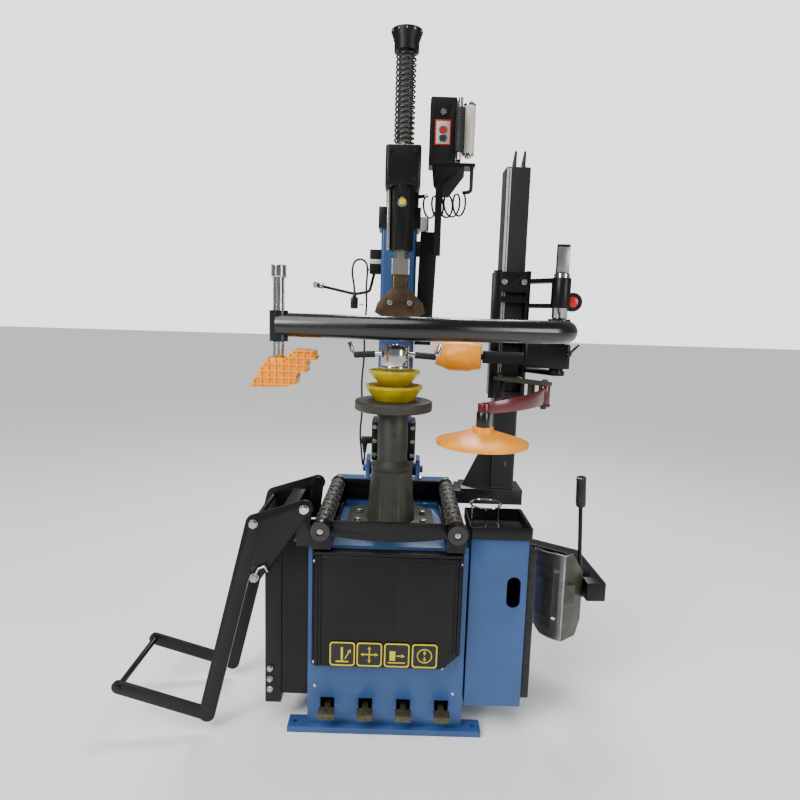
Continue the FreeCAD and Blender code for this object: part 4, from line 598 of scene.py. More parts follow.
# %% Coiled air hose
HOSE_MM = 6.5
COIL_FROM, COIL_TO = Vector((205, 130, 1566)), Vector((92, 200, 1566))
COIL_R, COIL_TURNS, POINTS_A_TURN = 36.0, 5, 14
along = (COIL_TO - COIL_FROM).normalized()
up = Vector((0, 0, 1))
side = along.cross(up)
coil_points = []
total = COIL_TURNS * POINTS_A_TURN
for i in range(total + 1):
    angle = 2 * math.pi * i / POINTS_A_TURN
    ends = min(1.0, i / 8, (total - i) / 8)
    r = COIL_R + ends * 3.2 * math.sin(i * 0.41)
    travel = (COIL_TO - COIL_FROM).length * (i / total) + ends * 5.0 * math.sin(angle * 0.73)
    coil_points.append(COIL_FROM + along * travel + up * (r * math.cos(angle))
                       + side * (r * math.sin(angle)))
air_coil = hose_curve("air_hose_coil", coil_points, HOSE_MM)
done(air_coil, "smooth black plastic", "column")
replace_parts(air_coil, "hose_coil")
coil_length = curve_length(air_coil)
print("air hose length", round(coil_length, 3), "m in", COIL_TURNS, "turns")

# %% [markdown]
# ## Sheet metal and castings with eased edges
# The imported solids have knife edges. Folded sheet has a bend radius and a casting has none
# sharper than a couple of millimetres, and it is this that draws a bright line along every edge.
# A copy of the solid is merged, its flat areas are cleared of loose triangles, and a bevel rounds
# only its sharp edges. The copy then stands for the node.

# %% Eased copies
def own_copy(node, name):
    """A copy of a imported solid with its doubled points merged, left open for editing."""
    start()
    piece = nodes[node].copy()
    piece.data = nodes[node].data.copy()
    piece.parent = None
    piece.name = piece.data.name = name
    bpy.context.collection.objects.link(piece)
    piece.hide_viewport = piece.hide_render = False
    piece.hide_set(False)
    edit(piece)
    bpy.ops.mesh.remove_doubles(threshold=MERGE)
    return piece


def eased(node, finish, width):
    piece = own_copy(node, node + "_eased")
    bpy.ops.mesh.dissolve_limited(angle_limit=math.radians(1.0))
    bpy.ops.object.mode_set(mode="OBJECT")
    bpy.ops.mesh.customdata_custom_splitnormals_clear()
    modify(piece, "BEVEL", width=width / 1000, segments=2, limit_method="ANGLE",
           angle_limit=math.radians(40), use_clamp_overlap=True, miter_outer="MITER_ARC")
    body = next(b for b, names in frame["record"]["behaviour"]["bodies"].items() if node in names)
    done(piece, finish, body)
    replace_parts(piece, node)
    return piece


EASED = {"cabinet": 1.5, "tool_box": 2.0, "front_cover": 3.0, "floor_frame": 1.5, "tool_tray": 1.2,
         "pedestal": 1.5, "column_boot": 2.0, "arm_sleeve": 2.0, "tool_arm": 1.5, "lift_channel": 1.5,
         "helper_post": 1.5, "roller_table": 1.2, "control_box": 1.5, "disc_link": 1.5,
         "disc_arm": 1.5, "spring_cap": 1.5, "bead_pads": 1.5, "tool_head": 2.0, "roller_arm": 1.5,
         "helper_carriage": 1.2, "bead_arm": 1.5, "turntable": 1.5, "wing_nut": 1.0,
         "presser_foot": 2.0, "bead_roller": 2.0, "press_disc": 1.5, "bead_blade": 1.0,
         "mount_head": 1.5, "lift_arm": 1.2, "control_bracket": 1.0, "inflator": 1.0,
         "gearbox": 1.5, "motor": 1.5}
FINISH_OF = {name: finish for finish, names in WEARS.items() for name in names.split()}
for node, width in EASED.items():
    piece = eased(node, FINISH_OF[node], width)
    print(piece.name, len(piece.data.polygons), "faces")

# %% [markdown]
# ## Fasteners
# A hexagon bolt is modelled once at the origin, standing on its washer: a six-sided cylinder whose
# top edge is chamfered by a cone-like inset, as the forging leaves it. A socket screw is a turned
# head with a six-sided hole. Every other bolt is a copy of one of these with its own mesh.

# %% Bolts modelled once
def hex_bolt(across=17.0, head=7.5, washer=1.8):
    start()
    bpy.ops.mesh.primitive_cylinder_add(vertices=6, radius=across / 1000 / math.sqrt(3),
                                        depth=head / 1000, location=mm(0, 0, washer + head / 2))
    bolt = settle("bolt_head")
    edit(bolt)
    pick(bolt, lambda middle, normal: normal.z > 0.9)
    bpy.ops.mesh.inset(thickness=across * 0.0001)
    bpy.ops.transform.translate(value=(0, 0, across * 0.00004))
    bpy.ops.mesh.inset(thickness=across * 0.00012)
    bpy.ops.transform.translate(value=(0, 0, -across * 0.00002))
    bpy.ops.object.mode_set(mode="OBJECT")
    ring = round_bar("washer", (0, 0, 0), (0, 0, washer), across * 0.64, sides=24, edge=0.4)
    return join("hex_bolt_model", [bolt, ring])


def socket_screw(radius=9.0, head=8.0):
    start()
    bpy.ops.mesh.primitive_cylinder_add(vertices=24, radius=radius / 1000, depth=head / 1000,
                                        location=mm(0, 0, head / 2))
    screw = ease(settle("socket_screw_model"), 1.0)
    start()
    bpy.ops.mesh.primitive_cylinder_add(vertices=6, radius=radius * 0.55 / 1000, depth=head / 1000,
                                        location=mm(0, 0, head))
    return cut(screw, settle("key_hole"))


HEX = hex_bolt()
SOCKET = socket_screw()
DOME = lathe("dome_model", [(0, 4.2), (3.2, 3.6), (5.8, 1.8), (6.5, 0), (0, 0)], (0, 0, 0),
             steps=20)


def bolts(name, source, spots, axis, finish, body, size=1.0):
    """Copies of one fastener at several places, as one piece."""
    copies = [stamp(source, f"{name}_{i}", spot, axis, size, roll=0.4 * i)
              for i, spot in enumerate(spots)]
    return done(join(name, copies), finish, body)


print("bolt faces", len(HEX.data.polygons), "socket faces", len(SOCKET.data.polygons))

# %% [markdown]
# ## Spring on the tool shaft
# Round black wire, 7 mm thick, wound eighteen times round the hexagon shaft. A circle of wire is
# turned upright beside the axis and the Screw modifier winds it. When the tool drops, the spring
# shortens from 280 to 130 mm, so it squashes down to just under half of its length.

# %% Shaft spring
SPRING_AXIS = (8, 40)
SPRING_LOW, SPRING_HIGH = 1707.0, 1987.0
WIRE_R, COIL_MEAN_R, COILS = 3.4, 29.0, 18

start()
bpy.ops.mesh.primitive_circle_add(vertices=10, radius=WIRE_R / 1000, fill_type="NGON",
                                  location=mm(COIL_MEAN_R, 0, 0), rotation=(math.pi / 2, 0, 0))
spring = settle("tool_shaft_spring")
edit(spring)
bpy.ops.mesh.delete(type="ONLY_FACE")
bpy.ops.object.mode_set(mode="OBJECT")
modify(spring, "SCREW", axis="Z", angle=2 * math.pi, iterations=COILS, steps=22, render_steps=22,
       screw_offset=(SPRING_HIGH - SPRING_LOW - 2 * WIRE_R) / COILS / 1000,
       use_merge_vertices=False)
edit(spring)
bpy.ops.mesh.select_all(action="DESELECT")
bpy.ops.mesh.select_mode(type="EDGE")
bpy.ops.mesh.select_non_manifold()
bpy.ops.mesh.fill()
bpy.ops.mesh.select_all(action="SELECT")
bpy.ops.mesh.normals_make_consistent(inside=False)
bpy.ops.transform.translate(value=mm(*SPRING_AXIS, SPRING_LOW + WIRE_R))
bpy.ops.object.mode_set(mode="OBJECT")
done(spring, "gloss black enamel", "tool_arm", smooth=60)
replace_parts(spring, "shaft_spring")
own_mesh(spring)
print("spring", len(spring.data.polygons), "faces")

# %% [markdown]
# ## Wheel rollers
# Each roller is a steel tube embossed with rows of studs, so that a tyre can't slip on it, with a
# black end ring and a socket screw in front. The studs come from a cylinder cut into a grid:
# every other face is picked, inset and pushed out. Black rubber rings sit between the studs.

# %% Embossed rollers
ROLLER_X, ROLLER_Z = 184.0, 622.0
TUBE_Y = (-332.0, 81.0)
TUBE_LONG = TUBE_Y[1] - TUBE_Y[0]
AROUND, ROWS = 20, 26

start()
bpy.ops.mesh.primitive_cylinder_add(vertices=AROUND, radius=0.0222, depth=TUBE_LONG / 1000,
                                    location=mm(0, sum(TUBE_Y) / 2, 0),
                                    rotation=(math.pi / 2, 0, 0))
stud_tube = settle("embossed_tube_model")
edit(stud_tube)
pick(stud_tube, lambda middle, spots: abs(spots[0].y - spots[1].y) > 0.1, kind="EDGE")
bpy.ops.mesh.subdivide(number_cuts=ROWS - 1)
bpy.ops.object.mode_set(mode="OBJECT")


def stud(middle, normal):
    row = int((middle.y - TUBE_Y[0]) / TUBE_LONG * ROWS)
    slot = int(((math.atan2(middle.z, middle.x) / (2 * math.pi)) % 1) * AROUND)
    return abs(normal.y) < 0.5 and 0 < row < ROWS - 1 and (row + slot) % 2 == 0


edit(stud_tube)
pick(stud_tube, stud)
bpy.ops.mesh.inset(thickness=0.0008, use_individual=True)
bpy.ops.mesh.extrude_faces_move(TRANSFORM_OT_shrink_fatten={"value": 0.0026})
bpy.ops.object.mode_set(mode="OBJECT")
for side, body in ((-1, "left_roller"), (1, "right_roller")):
    x = side * ROLLER_X
    tube = stamp(stud_tube, f"{body}_tube", (x, 0, ROLLER_Z))
    journal = [round_bar(f"{body}_{part}", (x, y0, ROLLER_Z), (x, y1, ROLLER_Z), r, edge=edge)
               for part, y0, y1, r, edge in (("neck", -349, -331, 17, 1), ("axle", -378, 108, 8, 1),
                                             ("tail", 97, 110, 25, 2))]
    tube = done(join(f"{body}_embossed_tube", [tube] + journal), "zinc plate", body, smooth=30)
    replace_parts(tube, body)
    turn(f"{body}_end_ring", [(0, 0), (26, 0), (29, 3), (29, 24), (26.5, 28), (12, 28), (12, 25),
                              (0, 25)], (x, -351, ROLLER_Z), "gloss black enamel", body, FORWARD, 40)
    bolts(f"{body}_screw", SOCKET, [(x, -375.5, ROLLER_Z)], FORWARD, "zinc plate", body, size=0.55)
    rings = [round_bar(f"{body}_ring_{k}", (x, y - 2.2, ROLLER_Z), (x, y + 2.2, ROLLER_Z), 25,
                       sides=40) for k, y in enumerate(range(-300, 81, 47))]
    done(join(f"{body}_rubber_rings", rings), "black rubber", body)
bpy.data.objects.remove(stud_tube)
print("rubber rings on a roller", len(rings))

# %% [markdown]
# ## Setting bolts on a surface
# A bolt head has to sit on its plate, neither sunk nor floating. A line is cast from outside
# towards the plate, as a carpenter sights along a rule, and the head goes where it meets the solid.

# %% Seat on a surface
from mathutils.bvhtree import BVHTree


def seat(node, outside, towards):
    """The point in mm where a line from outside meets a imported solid."""
    mesh = nodes[node].data
    tree = BVHTree.FromPolygons([v.co for v in mesh.vertices], [p.vertices for p in mesh.polygons])
    spot = tree.ray_cast(mm(*outside), Vector(towards))[0]
    if spot is None:
        print("nothing to sit on:", node, outside)
        return outside
    return tuple(spot * 1000)


def fasten(name, source, node, body, size, starts, towards=FRONT, finish="zinc plate"):
    """Copies of a fastener, each where its line meets the node."""
    spots = [seat(node, start_point, towards) for start_point in starts]
    return bolts(name, source, spots, tuple(-Vector(towards)), finish, body, size)


flange_bolts = [(*on_circle(0, -110, 108, math.radians(22.5 + 45 * i)), 577) for i in range(8)]
pedestal_bolts = bolts("pedestal_bolts", HEX, flange_bolts, (0, 0, 1), "zinc plate", "base",
                       size=0.95)
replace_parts(pedestal_bolts, "plate_bolts")
fasten("cabinet_screws", DOME, "cabinet", "base", 0.9, [(-203, -600, 132), (196, -600, 118)])
for side, x, towards in (("left", -300, RIGHTWARD), ("right", 110, LEFTWARD)):
    fasten(f"clevis_bolts_{side}", HEX, "cabinet", "base", 0.9, [(x, 215, 592), (x, 285, 592)],
           towards)
fasten("boot_bolts", HEX, "column_boot", "column", 0.75,
       [(x, 0, z) for x in (-66, 66) for z in (706, 756, 806)])
fasten("channel_bolts", HEX, "lift_channel", "base", 0.8, [(-334, -600, z) for z in (178, 146, 114)])
fasten("carriage_bolts", HEX, "helper_carriage", "helper_carriage", 0.85,
       [(x, -50, z) for x in (352, 418) for z in (1319, 1133, 998)])
fasten("head_screws", SOCKET, "tool_head", "tool_arm", 0.6,
       [(x, -200, z) for z in (1690, 1606) for x in (-30, 46)], finish="gloss black enamel")
fasten("mount_screws", SOCKET, "mount_head", "tool_shaft", 0.9, [(-22, -200, 1238), (40, -200, 1238)])
fasten("lift_pins", HEX, "lift_arm", "lift_arm", 1.15, [(-370, -600, 626), (-368, -600, 472)])
fasten("lift_pivot_pin", HEX, "lift_arm", "lift_arm", 1.2, [(-232, -600, 671)],
       finish="chrome plate")
fasten("breaker_nut", HEX, "bead_arm", "bead_arm", 1.7, [(566, -120, 700)], DOWN)

# %% [markdown]
# ## Front cover
# The cover is vacuum-formed black plastic. Forming pulls soft ribs and a shallow raised field into
# the sheet to stiffen it. The ribs are rounded slabs half sunk in the cover, which is how such a
# rib looks from outside.

# %% Cover ribs and field
COVER_FACE = -340.0
field = slab("cover_field", (21, COVER_FACE - 2.0, 306), (182, COVER_FACE + 4, 530), edge=3)
RIBS = [("left", 214, (-196, -186)), ("right", 262, (191, 200))]
ribs = [slab(f"cover_rib_{where}_{x}", (x - 3, COVER_FACE - 3.0, foot),
             (x + 3, COVER_FACE + 6, 540), edge=2.6) for where, foot, places in RIBS for x in places]
lip = slab("cover_lip", (-205, COVER_FACE - 1.5, 541), (205, COVER_FACE + 8, 551), edge=3)
done(join("cover_mouldings", [field, lip] + ribs), "grained black ABS", "base")
fasten("cover_screws", DOME, "front_cover", "base", 0.7,
       [(-204, -600, 520), (204, -600, 520), (-204, -600, 220), (160, -600, 212)])
print("cover ribs", len(ribs))

# %% [markdown]
# Four badges over the pedals show what each pedal does, in plain line drawings: tilt the column,
# open and close, lock, and turn the table. Each is a black tile with a yellow border. The border
# is a rounded tile with a smaller one taken out of it, and the marks are thin raised bars.

# %% Pedal badges
MARK_Y = COVER_FACE - 3.0


def tile(name, half, depth, corner):
    start()
    bpy.ops.mesh.primitive_cube_add(size=1, scale=mm(2 * half, depth, 2 * half))
    piece = settle(name)
    edit(piece, "DESELECT")
    pick(piece, lambda middle, spots: abs(middle.x) > 1 and abs(middle.z) > 1, kind="EDGE")
    bpy.ops.mesh.bevel(offset=corner / 1000, segments=6)
    bpy.ops.object.mode_set(mode="OBJECT")
    return piece


def arrow(name, at, roll, length=14.0, spread=6.5):
    """A flat arrow in the plane of the cover, pointing along roll from upright."""
    start()
    bpy.ops.mesh.primitive_cylinder_add(vertices=3, radius=spread / 1000, depth=0.0012,
                                        location=mm(0, 0, length), rotation=(math.pi / 2, 0, 0))
    tip = settle(name + "_tip")
    stem = slab(name + "_stem", (-1.5, -0.6, 0), (1.5, 0.6, length), edge=0.2)
    piece = join(name, [tip, stem])
    piece.data.transform(Matrix.Translation(mm(at[0], 0, at[1])) @ Matrix.Rotation(roll, 4, "Y"))
    return piece


def ring(name, at, radius, wide=3.0):
    start()
    bpy.ops.mesh.primitive_torus_add(major_radius=radius / 1000, minor_radius=wide / 2000,
                                     major_segments=36, minor_segments=8,
                                     rotation=(math.pi / 2, 0, 0), location=mm(at[0], 0, at[1]))
    return settle(name)


BADGE_X, BADGE_Z = (-122, -46, 31, 109), 254
border = tile("badge_border", 35.5, 1.6, 9)
cut(border, tile("badge_inner", 32.0, 4.0, 7))
back = tile("badge_back", 36.0, 3.2, 9)
quarter = math.pi / 2
MARKS = [
    [slab("m0a", (-4, -0.6, -22), (2, 0.6, 20), edge=0.3), arrow("m0b", (8, -14), 0.5, 26),
     slab("m0c", (-18, -0.6, -25), (18, 0.6, -21), edge=0.3)],
    [arrow(f"m1{i}", (0, 0), i * quarter, 19, 5.5) for i in range(4)],
    [slab("m2a", (-20, -0.6, -16), (-4, 0.6, 12), edge=0.3), arrow("m2b", (0, -2), quarter, 16),
     slab("m2c", (-24, -0.6, -24), (24, 0.6, -21), edge=0.3)],
    [ring("m3a", (0, 0), 20), arrow("m3b", (0, 3), 0, 8, 5),
     arrow("m3c", (0, -3), 2 * quarter, 8, 5)],
]
tiles, marks = [], []
for i, (x, shapes) in enumerate(zip(BADGE_X, MARKS)):
    tiles.append(stamp(back, f"tile_{i}", (x, COVER_FACE - 1.2, BADGE_Z)))
    marks.append(stamp(border, f"border_{i}", (x, MARK_Y, BADGE_Z)))
    for shape in shapes:
        shape.data.transform(Matrix.Translation(mm(x, MARK_Y, BADGE_Z)))
        marks.append(shape)
bpy.data.objects.remove(border)
bpy.data.objects.remove(back)
done(join("pedal_badges", tiles), "smooth black plastic", "base")
done(join("pedal_badge_marks", marks), "yellow plastic", "base")
print("badges", len(MARKS))

# %% [markdown]
# ## Pedals, tray ring and table
# A pedal's tread is folded sheet with a lip in front and ribs across it, so a wet boot holds. A
# wire ring on the tool tray holds the pot of tyre paste. The locking handles of the wing nut have
# black dip-moulded sleeves.

# %% Treads, paste ring and sleeves
tread = slab("tread_plate", (-23, -351, 70), (23, -318, 73.5), edge=1.2)
lip = slab("tread_lip", (-23, -352, 55), (23, -348.5, 73), edge=1.2)
stem = slab("tread_stem", (-9, -330, 66), (9, -262, 71), edge=1.0)
grips = [slab(f"tread_rib_{k}", (-19, y, 73), (19, y + 2.5, 74.6), edge=0.7)
         for k, y in enumerate((-345, -338, -331, -324))]
tread_model = join("tread_model", [tread, lip, stem] + grips)
for i, x in enumerate((-166, -56, 54, 164)):
    pedal = done(stamp(tread_model, f"pedal_{i + 1}_plate", (x, 0, 0)), "raw pressed steel",
                 f"pedal_{i + 1}")
    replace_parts(pedal, f"pedal_{i + 1}")
bpy.data.objects.remove(tread_model)

RING_AT, RING_R = (282, -192), 46
start()
bpy.ops.mesh.primitive_torus_add(major_radius=RING_R / 1000, minor_radius=0.0024, major_segments=48,
                                 minor_segments=10, location=mm(*RING_AT, 654))
loop = settle("paste_ring_loop")
legs = []
for angle in (0.4, 2.5, 4.6):
    spot = on_circle(*RING_AT, RING_R, angle)
    legs.append(round_bar("paste_ring_leg", (*spot, 597), (*spot, 655), 2.4, sides=10, edge=0))
done(join("paste_pot_ring", [loop] + legs), "chrome plate", "base")
sleeve_profile = repeat([(0, 0), (9.6, 0), (10.2, 1.5), (10.2, 9)], 6, 8,
                        [(9.3, 10), (9.3, 12), (10.0, 13), (10.0, 17)],
                        [(9.0, 62), (7.6, 63), (0, 63)])
for side in (-1, 1):
    turn(f"wing_sleeve_{side + 2}", sleeve_profile, (side * 60, -110, 1082.1), "black rubber",
         "wing_nut", (side * 66, 0, -4.1), 24)
turn("wing_nut_knurl", [(0, 0), (43, 0), (44, 1.5), (44, 12), (43, 13.5), (0, 13.5)],
     (0, -110, 1036.5), "chrome plate", "wing_nut", steps=48)
print("treads 4, ring legs", len(legs))

# %% [markdown]
# ## Tool head
# The cap on the spring is held by a ring of rivets. A steel top plate closes the head, with a small
# catch at its front, and a pale zinc strip on the hexagon guide's left facet paints its highlight.

# %% Head details
RIVETS = 12
rivets = []
for k in range(RIVETS):
    angle = 2 * math.pi * k / RIVETS
    rivets.append(stamp(DOME, f"rivet_{k}", (*on_circle(8, 40, 48.3, angle), 2040),
                        (math.cos(angle), math.sin(angle), 0.15), 0.42))
done(join("cap_rivets", rivets), "zinc plate", "tool_shaft")
top_plate = slab("head_top_plate", (-44, -20, 1703), (60, 94, 1708.5), edge=1.5)
cut(top_plate, round_bar("plate_hole", (8, 40, 1696), (8, 40, 1716), 29, sides=40, edge=0))
catch = slab("head_catch", (2, -21.5, 1690), (14, -18, 1712), edge=1.2)
done(join("head_top", [top_plate, catch]), "zinc plate", "tool_arm")
# A pale zinc strip on the guide's left facet: a painted highlight where that facet catches the light.
plate("head_painted_highlight_strip", (-38, 30, 1402), (-28, 48, 1588), "zinc plate", "tool_arm", 1.5)
button_x, head_y, _ = seat("tool_head", (8, -200, 1555), FRONT)
turn("release_collar", [(10.8, 0), (14.5, 0), (14.5, 3), (13, 4.5), (10.8, 4.5), (10.8, 0)],
     (button_x, head_y, 1540), "chrome plate", "tool_arm", FORWARD)
print("cap rivets", RIVETS)

# %% [markdown]
# ## Control head
# The two buttons sit on a pale plate with a red border, each in its own collar, below a round lock.
# The handle beside the box has a ribbed rubber grip on a chrome rod, and the oiler is a cream
# canister between chrome caps.

# %% Control plate, lock and collars
plate("button_plate", (106, 98.6, 1742), (154, 101, 1816), "cast aluminium", "column")
border = slab("plate_border", (104.5, 97.8, 1740.5), (155.5, 99.4, 1817.5), edge=0.6)
cut(border, slab("border_window", (108.5, 90, 1744.5), (151.5, 110, 1813.5), edge=0))
done(border, "red plastic", "column")
collars = [lathe(f"button_collar_{i}", [(9.6, 0), (13.5, 0), (13.5, 2.5), (12, 4), (9.6, 4),
                                        (9.6, 0)], (131, 99, z), FORWARD, 28)
           for i, z in enumerate((1786, 1761))]
done(join("button_collars", collars), "chrome plate", "column")
turn("lock_barrel", [(0, 3), (3, 3), (3.2, 5), (8, 5), (9.5, 3.5), (9.5, 0), (0, 0)],
     (130, 100, 1841), "chrome plate", "column", FORWARD)
plate("control_lid_seam", (88.8, 112, 1690), (173.2, 114, 1884), "smooth black plastic", "column",
      0.5)
print("button collars", len(collars))

# %% Handle grip and oiler
turn("handle_grip", repeat([(0, 0), (13.5, 0), (15.2, 1.5), (15.2, 6)], 14, 8.4,
                           [(14.2, 8), (14.2, 9.6), (15.0, 10.6), (15.0, 14.4)],
                           [(15.2, 128), (15.2, 131), (13.5, 133), (0, 133)]),
     (182, 74, 1713.5), "black rubber", "column")
OILER_AT = (216, 140, 1712)
canister = turn("oiler_canister", [(0, 12), (18.6, 12), (20, 14), (20, 158), (18.6, 160), (0, 160)],
                OILER_AT, "cream lacquer", "column", steps=36)
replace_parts(canister, "air_lubricator")
caps = [lathe("oiler_cap", profile, OILER_AT, steps=36) for profile in (
    [(0, 0), (9, 0), (9, 5), (17, 6), (20, 8), (20, 12.5), (0, 12.5)],
    [(0, 160), (20, 160), (20, 166), (16, 168), (11, 169), (11, 173), (0, 174)])]
done(join("oiler_end_caps", caps), "chrome plate", "column")
print("oiler stands at", OILER_AT)

# %% [markdown]
# ## Inflator
# The pistol has a grey band round its black body and a chrome chuck on the end of its bent stem.

# %% Inflator band and chuck
plate("inflator_band", (-101.2, 204.8, 1372), (-59.8, 251.2, 1388), "cast aluminium", "column", 1.5)
turn("inflator_chuck", [(0, 0), (6, 0), (10, 3), (10, 12), (8.5, 14), (8.5, 22), (10, 24), (10, 34),
                        (6, 37), (0, 37)], (-260, 228, 1294), "chrome plate", "column", LEFTWARD, 24)
plate("cord_tie", (-111, 199, 1348), (-101, 211, 1356), "black rubber", "column", 1.5)
print("inflator trimmed")

# %% [markdown]
# ## Helper post and arms
# The carriage turns on a chrome tube. Beside it are a selector knob with a red face, and below it a
# clamp with a ball-ended lever.
# The presser is a threaded spindle under a knurled cap: its thread is a row of ridges on a turned
# profile, since at this size a helix and rings look the same and rings stay light.

# %% Selector knob and clamp
KNOB_AT = (556, 26, 1256)
CARRIAGE = "helper_carriage"
turn("selector_knob", [(0, 0), (28, 0), (30, 3), (30, 13), (27, 17), (18, 17), (18, 14), (0, 14)],
     KNOB_AT, "smooth black plastic", CARRIAGE, FORWARD, 44)
turn("selector_face", [(0, 13), (17, 13), (17, 15.5), (14, 17), (0, 17)], KNOB_AT, "red plastic",
     CARRIAGE, FORWARD, 36)
turn("pivot_tube", [(22.2, 0), (24, 0), (24.6, 2), (24.6, 136), (24, 139), (22.2, 139), (22.2, 0)],
     (518, 20, 1204), "chrome plate", CARRIAGE, steps=44)
fin_y = seat(CARRIAGE, (518, -300, 1400), FRONT)[1]
plate("stop_bar_face", (500, fin_y - 1.2, 1346), (536, fin_y + 1, 1426), "ground steel", CARRIAGE,
      0.8)
plate("clamp_plate", (448, -12, 1124), (494, 12, 1130), "zinc plate", CARRIAGE, 1.2)
lever = round_bar("clamp_lever", (546, -20, 1094), (574, -26, 1124), 4.5, 3.2, sides=16)
ball = lathe("clamp_ball", [(0, -10), (5.5, -8.4), (9.2, -4), (10, 0), (9.2, 4), (5.5, 8.4),
                            (0, 10)], (545, -19, 1093), steps=24)
done(join("clamp_lever_set", [lever, ball]), "smooth black plastic", CARRIAGE)
print("stop bar face at y", round(fin_y, 1))

# %% Presser spindle and foot
PRESSER_AT = (-313, -285, 0)
thread = repeat([(0, 1078), (13, 1078), (14.2, 1080)], 42, 5.0,
                [(14.2, 1081), (16, 1082.6), (16, 1083.6), (14.2, 1085.2)], [(14.2, 1292), (0, 1292)])
knurl = repeat([(0, 1290), (19.5, 1290), (20.5, 1291.5)], 6, 4.6,
               [(20.5, 1293), (19.3, 1294), (19.3, 1295.4), (20.5, 1296.4)],
               [(20.5, 1320.5), (19.5, 1322), (9, 1322), (9, 1316), (0, 1316)])
spindle = join("presser_spindle_set", [lathe("presser_spindle", thread, PRESSER_AT, steps=24),
                                       lathe("presser_cap", knurl, PRESSER_AT, steps=36)])
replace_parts(done(spindle, "chrome plate", "presser"), "presser_screw")

low, high = (Vector(corner) * 1000 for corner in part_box("presser_foot"))
swollen = own_copy("presser_foot", "foot_model")
bpy.ops.object.mode_set(mode="OBJECT")
middle_y = (low.y + high.y) / 2000
swollen.data.transform(Matrix.Translation((0, middle_y, 0)) @ Matrix.Scale(1.16, 4, (0, 1, 0))
                       @ Matrix.Translation((0, -middle_y, 0)))
levels = [slab("waffle_across", (low.x - 5, low.y - 5, z - 2), (high.x + 5, high.y + 5, z + 2), edge=0)
          for z in range(int(low.z) + 10, int(high.z), 18)]
bars = [slab("waffle_up", (x - 2, low.y - 5, low.z - 5), (x + 2, high.y + 5, high.z + 5), edge=0)
        for x in range(int(low.x) + 12, int(high.x), 19)]
waffle = levels[0]
for other in levels[1:] + bars:
    cut(waffle, other, "UNION")
cut(waffle, swollen, "INTERSECT")
waffle.name = waffle.data.name = "presser_foot_ribs"
done(waffle, "orange polyurethane", "presser")
print("foot ribs", len(waffle.data.polygons), "faces")

# %% [markdown]
# ## Roller end and welds
# The tapered roller turns on a bush seen in its open end. Welds are rounded beads, a row of
# overlapping ripples as the gun leaves them.

# %% Roller bush and weld beads
ROLLER_TURN = math.radians(-9.4)
RIPPLE = 3.5
low, high = (Vector(corner) * 1000 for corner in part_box("bead_roller"))
turn("roller_bush", [(0, 0), (9, 0), (9, 4), (14, 5), (17, 3), (17, -4), (0, -4)],
     (low.x + 4, (low.y + high.y) / 2 + 12, 1072), "red plastic", "bead_roller",
     (-math.cos(ROLLER_TURN), -math.sin(ROLLER_TURN), 0))


def weld(name, begin, end, wide=5.0):
    """A weld bead between two points, in ripples."""
    way = Vector(end) - Vector(begin)
    count = max(2, int(way.length / RIPPLE))
    pitch = way.length / count
    half = wide / 2
    profile = repeat([(0.5, 0)], count, pitch,
                     [(half, pitch / 2 - 1.0), (half, pitch / 2 + 0.4), (half - 0.7, pitch / 2 + 1.4)],
                     [(0.5, way.length)])
    return lathe(name, profile, begin, tuple(way), 8)


WELD_Z = 609.5
post_y = seat("helper_post", (385, -600, 800), FRONT)[1]
beads = [weld("post_weld_front", (350, post_y, WELD_Z), (420, post_y, WELD_Z))]
beads += [weld("post_weld_side", (x, 140, WELD_Z), (x, 222, WELD_Z)) for x in (344.5, 425.5)]
done(join("post_welds", beads), "scuffed black paint", "base")
print("weld beads", len(beads), "ripples of about", RIPPLE, "mm")

# %% [markdown]
# ## Wheel lift and bead breaker
# A bent wire latch hangs on the lift's lower pin. The bead breaker is worked by a lever with a long
# tapered grip.

# %% Latch and breaker grip
LATCH = [(-368, -345, 472), (-356, -348, 500), (-338, -348, 508), (-330, -348, 492)]
latch = [round_bar("latch_part", a, b, 3.0, sides=14, edge=0) for a, b in zip(LATCH, LATCH[1:])]
done(join("lift_latch", latch), "chrome plate", "lift_arm")

grip_from, grip_to = Vector((568.7, -174.8, 652)), Vector((560, -189, 742))
length = (grip_to - grip_from).length
turn("breaker_grip", repeat([(0, -2), (12, -2), (13.6, 0), (14.4, 6)], 9, 8.2,
                            [(14.2, 10), (14.9, 12), (14.9, 15.5)],
                            [(15.0, length - 8), (13.5, length - 1), (8, length), (0, length)], 0.1),
     grip_from, "black rubber", "bead_arm", tuple(grip_to - grip_from))
print("breaker grip", round(length), "mm long")

# %% [markdown]
# ## Blade, post and small fittings
# The breaker's blade is one folded plate, but its wings look different: the left one is polished by
# tyres and the right one keeps its grey primer, so the copy of the blade gets a second material on
# the faces beyond the fold. The helper post has two bright strips where its carriage slides.

# %% Two-tone blade
FOLD_X = 0.5235
blade = bpy.data.objects["bead_blade_eased"]
blade.data.materials.append(FINISH["olive primed casting"])
for face in blade.data.polygons:
    if face.center.x > FOLD_X:
        face.material_index = 1
print("primed faces", sum(face.material_index for face in blade.data.polygons))

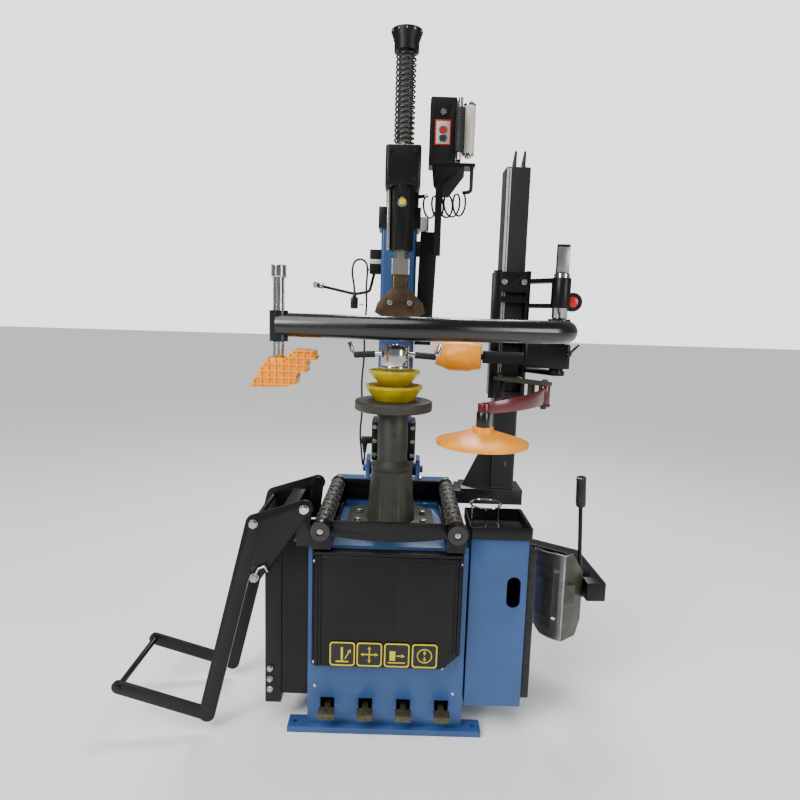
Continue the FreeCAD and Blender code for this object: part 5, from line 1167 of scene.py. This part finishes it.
# %% Post strips, grease plug, collar and sleeves
strips = [slab("post_strip", (x, post_y - 1.0, 930), (x + wide, post_y + 1, 1686), edge=0.5)
          for x, wide in ((347, 7), (357, 4))]
done(join("post_wear_strips", strips), "cast aluminium", "base")
collar = lathe("pedestal_collar", [(58, 0), (62.5, 0), (63.5, 2), (63.5, 13), (61.5, 15), (58, 15),
                                   (58, 0)], (0, -110, 732), steps=56)
grease_plug = lathe("grease_plug", [(0, 1.5), (2.4, 1.5), (3.2, 2.5), (6, 2.5), (6, -2), (0, -2)],
                    (4, -155.3, 842), FORWARD, 20)
done(join("pedestal_trim", [collar, grease_plug]), "dark cast iron", "base")
turn("disc_post_sleeve", [(17.2, 0), (19, 0), (19.6, 1.5), (19.6, 52), (18.5, 54), (0, 54), (0, 52)],
     (254, -250, 884), "gloss black enamel", "disc_arm", steps=32)
plate("air_valve_body", (70, 142, 1476), (92, 172, 1524), "cream lacquer", "column", 2.5)
plate("air_valve_band", (92, 146, 1480), (97, 168, 1520), "blue powder coat", "column")
print("post strips", len(strips))

# %% [markdown]
# ## Rear panel
# The back of the cabinet opens for the motor: a screwed panel with a row of louvres. Each louvre is
# a rounded slab standing half out of the panel, over a black strip that is painted shade for its slot.

# %% Rear panel and louvres
BACK = seat("cabinet", (0, 900, 300), FORWARD)[1]
panel = slab("rear_panel", (-176, BACK - 2, 62), (176, BACK + 2.5, 476), edge=1.4)
LOUVRE_FEET = [352 + 17 * k for k in range(6)]
louvres = [slab("louvre", (-70, BACK - 1, z), (70, BACK + 7, z + 8), edge=3) for z in LOUVRE_FEET]
done(join("rear_service_panel", [panel] + louvres), "blue powder coat", "base")
# Black strips under the louvres are painted shade, standing for the dark slots.
slot_shades = [slab("slot_painted_shade", (-68, BACK + 1, z - 5.5), (68, BACK + 3.2, z - 0.5), edge=0.5)
         for z in LOUVRE_FEET]
done(join("slot_painted_shades", slot_shades), "smooth black plastic", "base")
bolts("panel_screws", DOME, [(x, BACK + 2.4, z) for x in (-164, 164) for z in (76, 269, 462)],
      (0, 1, 0), "zinc plate", "base", size=0.8)
print("louvres", len(louvres), "on the face at y", round(BACK, 1))

# %% [markdown]
# ## Hand over
# The fastener models at the origin have done their work and go. The two boxes, of the imported solids
# and of everything here, are kept side by side.

# %% Sizes and finish
for model in (HEX, SOCKET, DOME):
    bpy.data.objects.remove(model)
boxes = {"cad": cad_box, "visual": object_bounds()}
boxes = {name: [[float(v) for v in corner] for corner in box] for name, box in boxes.items()}
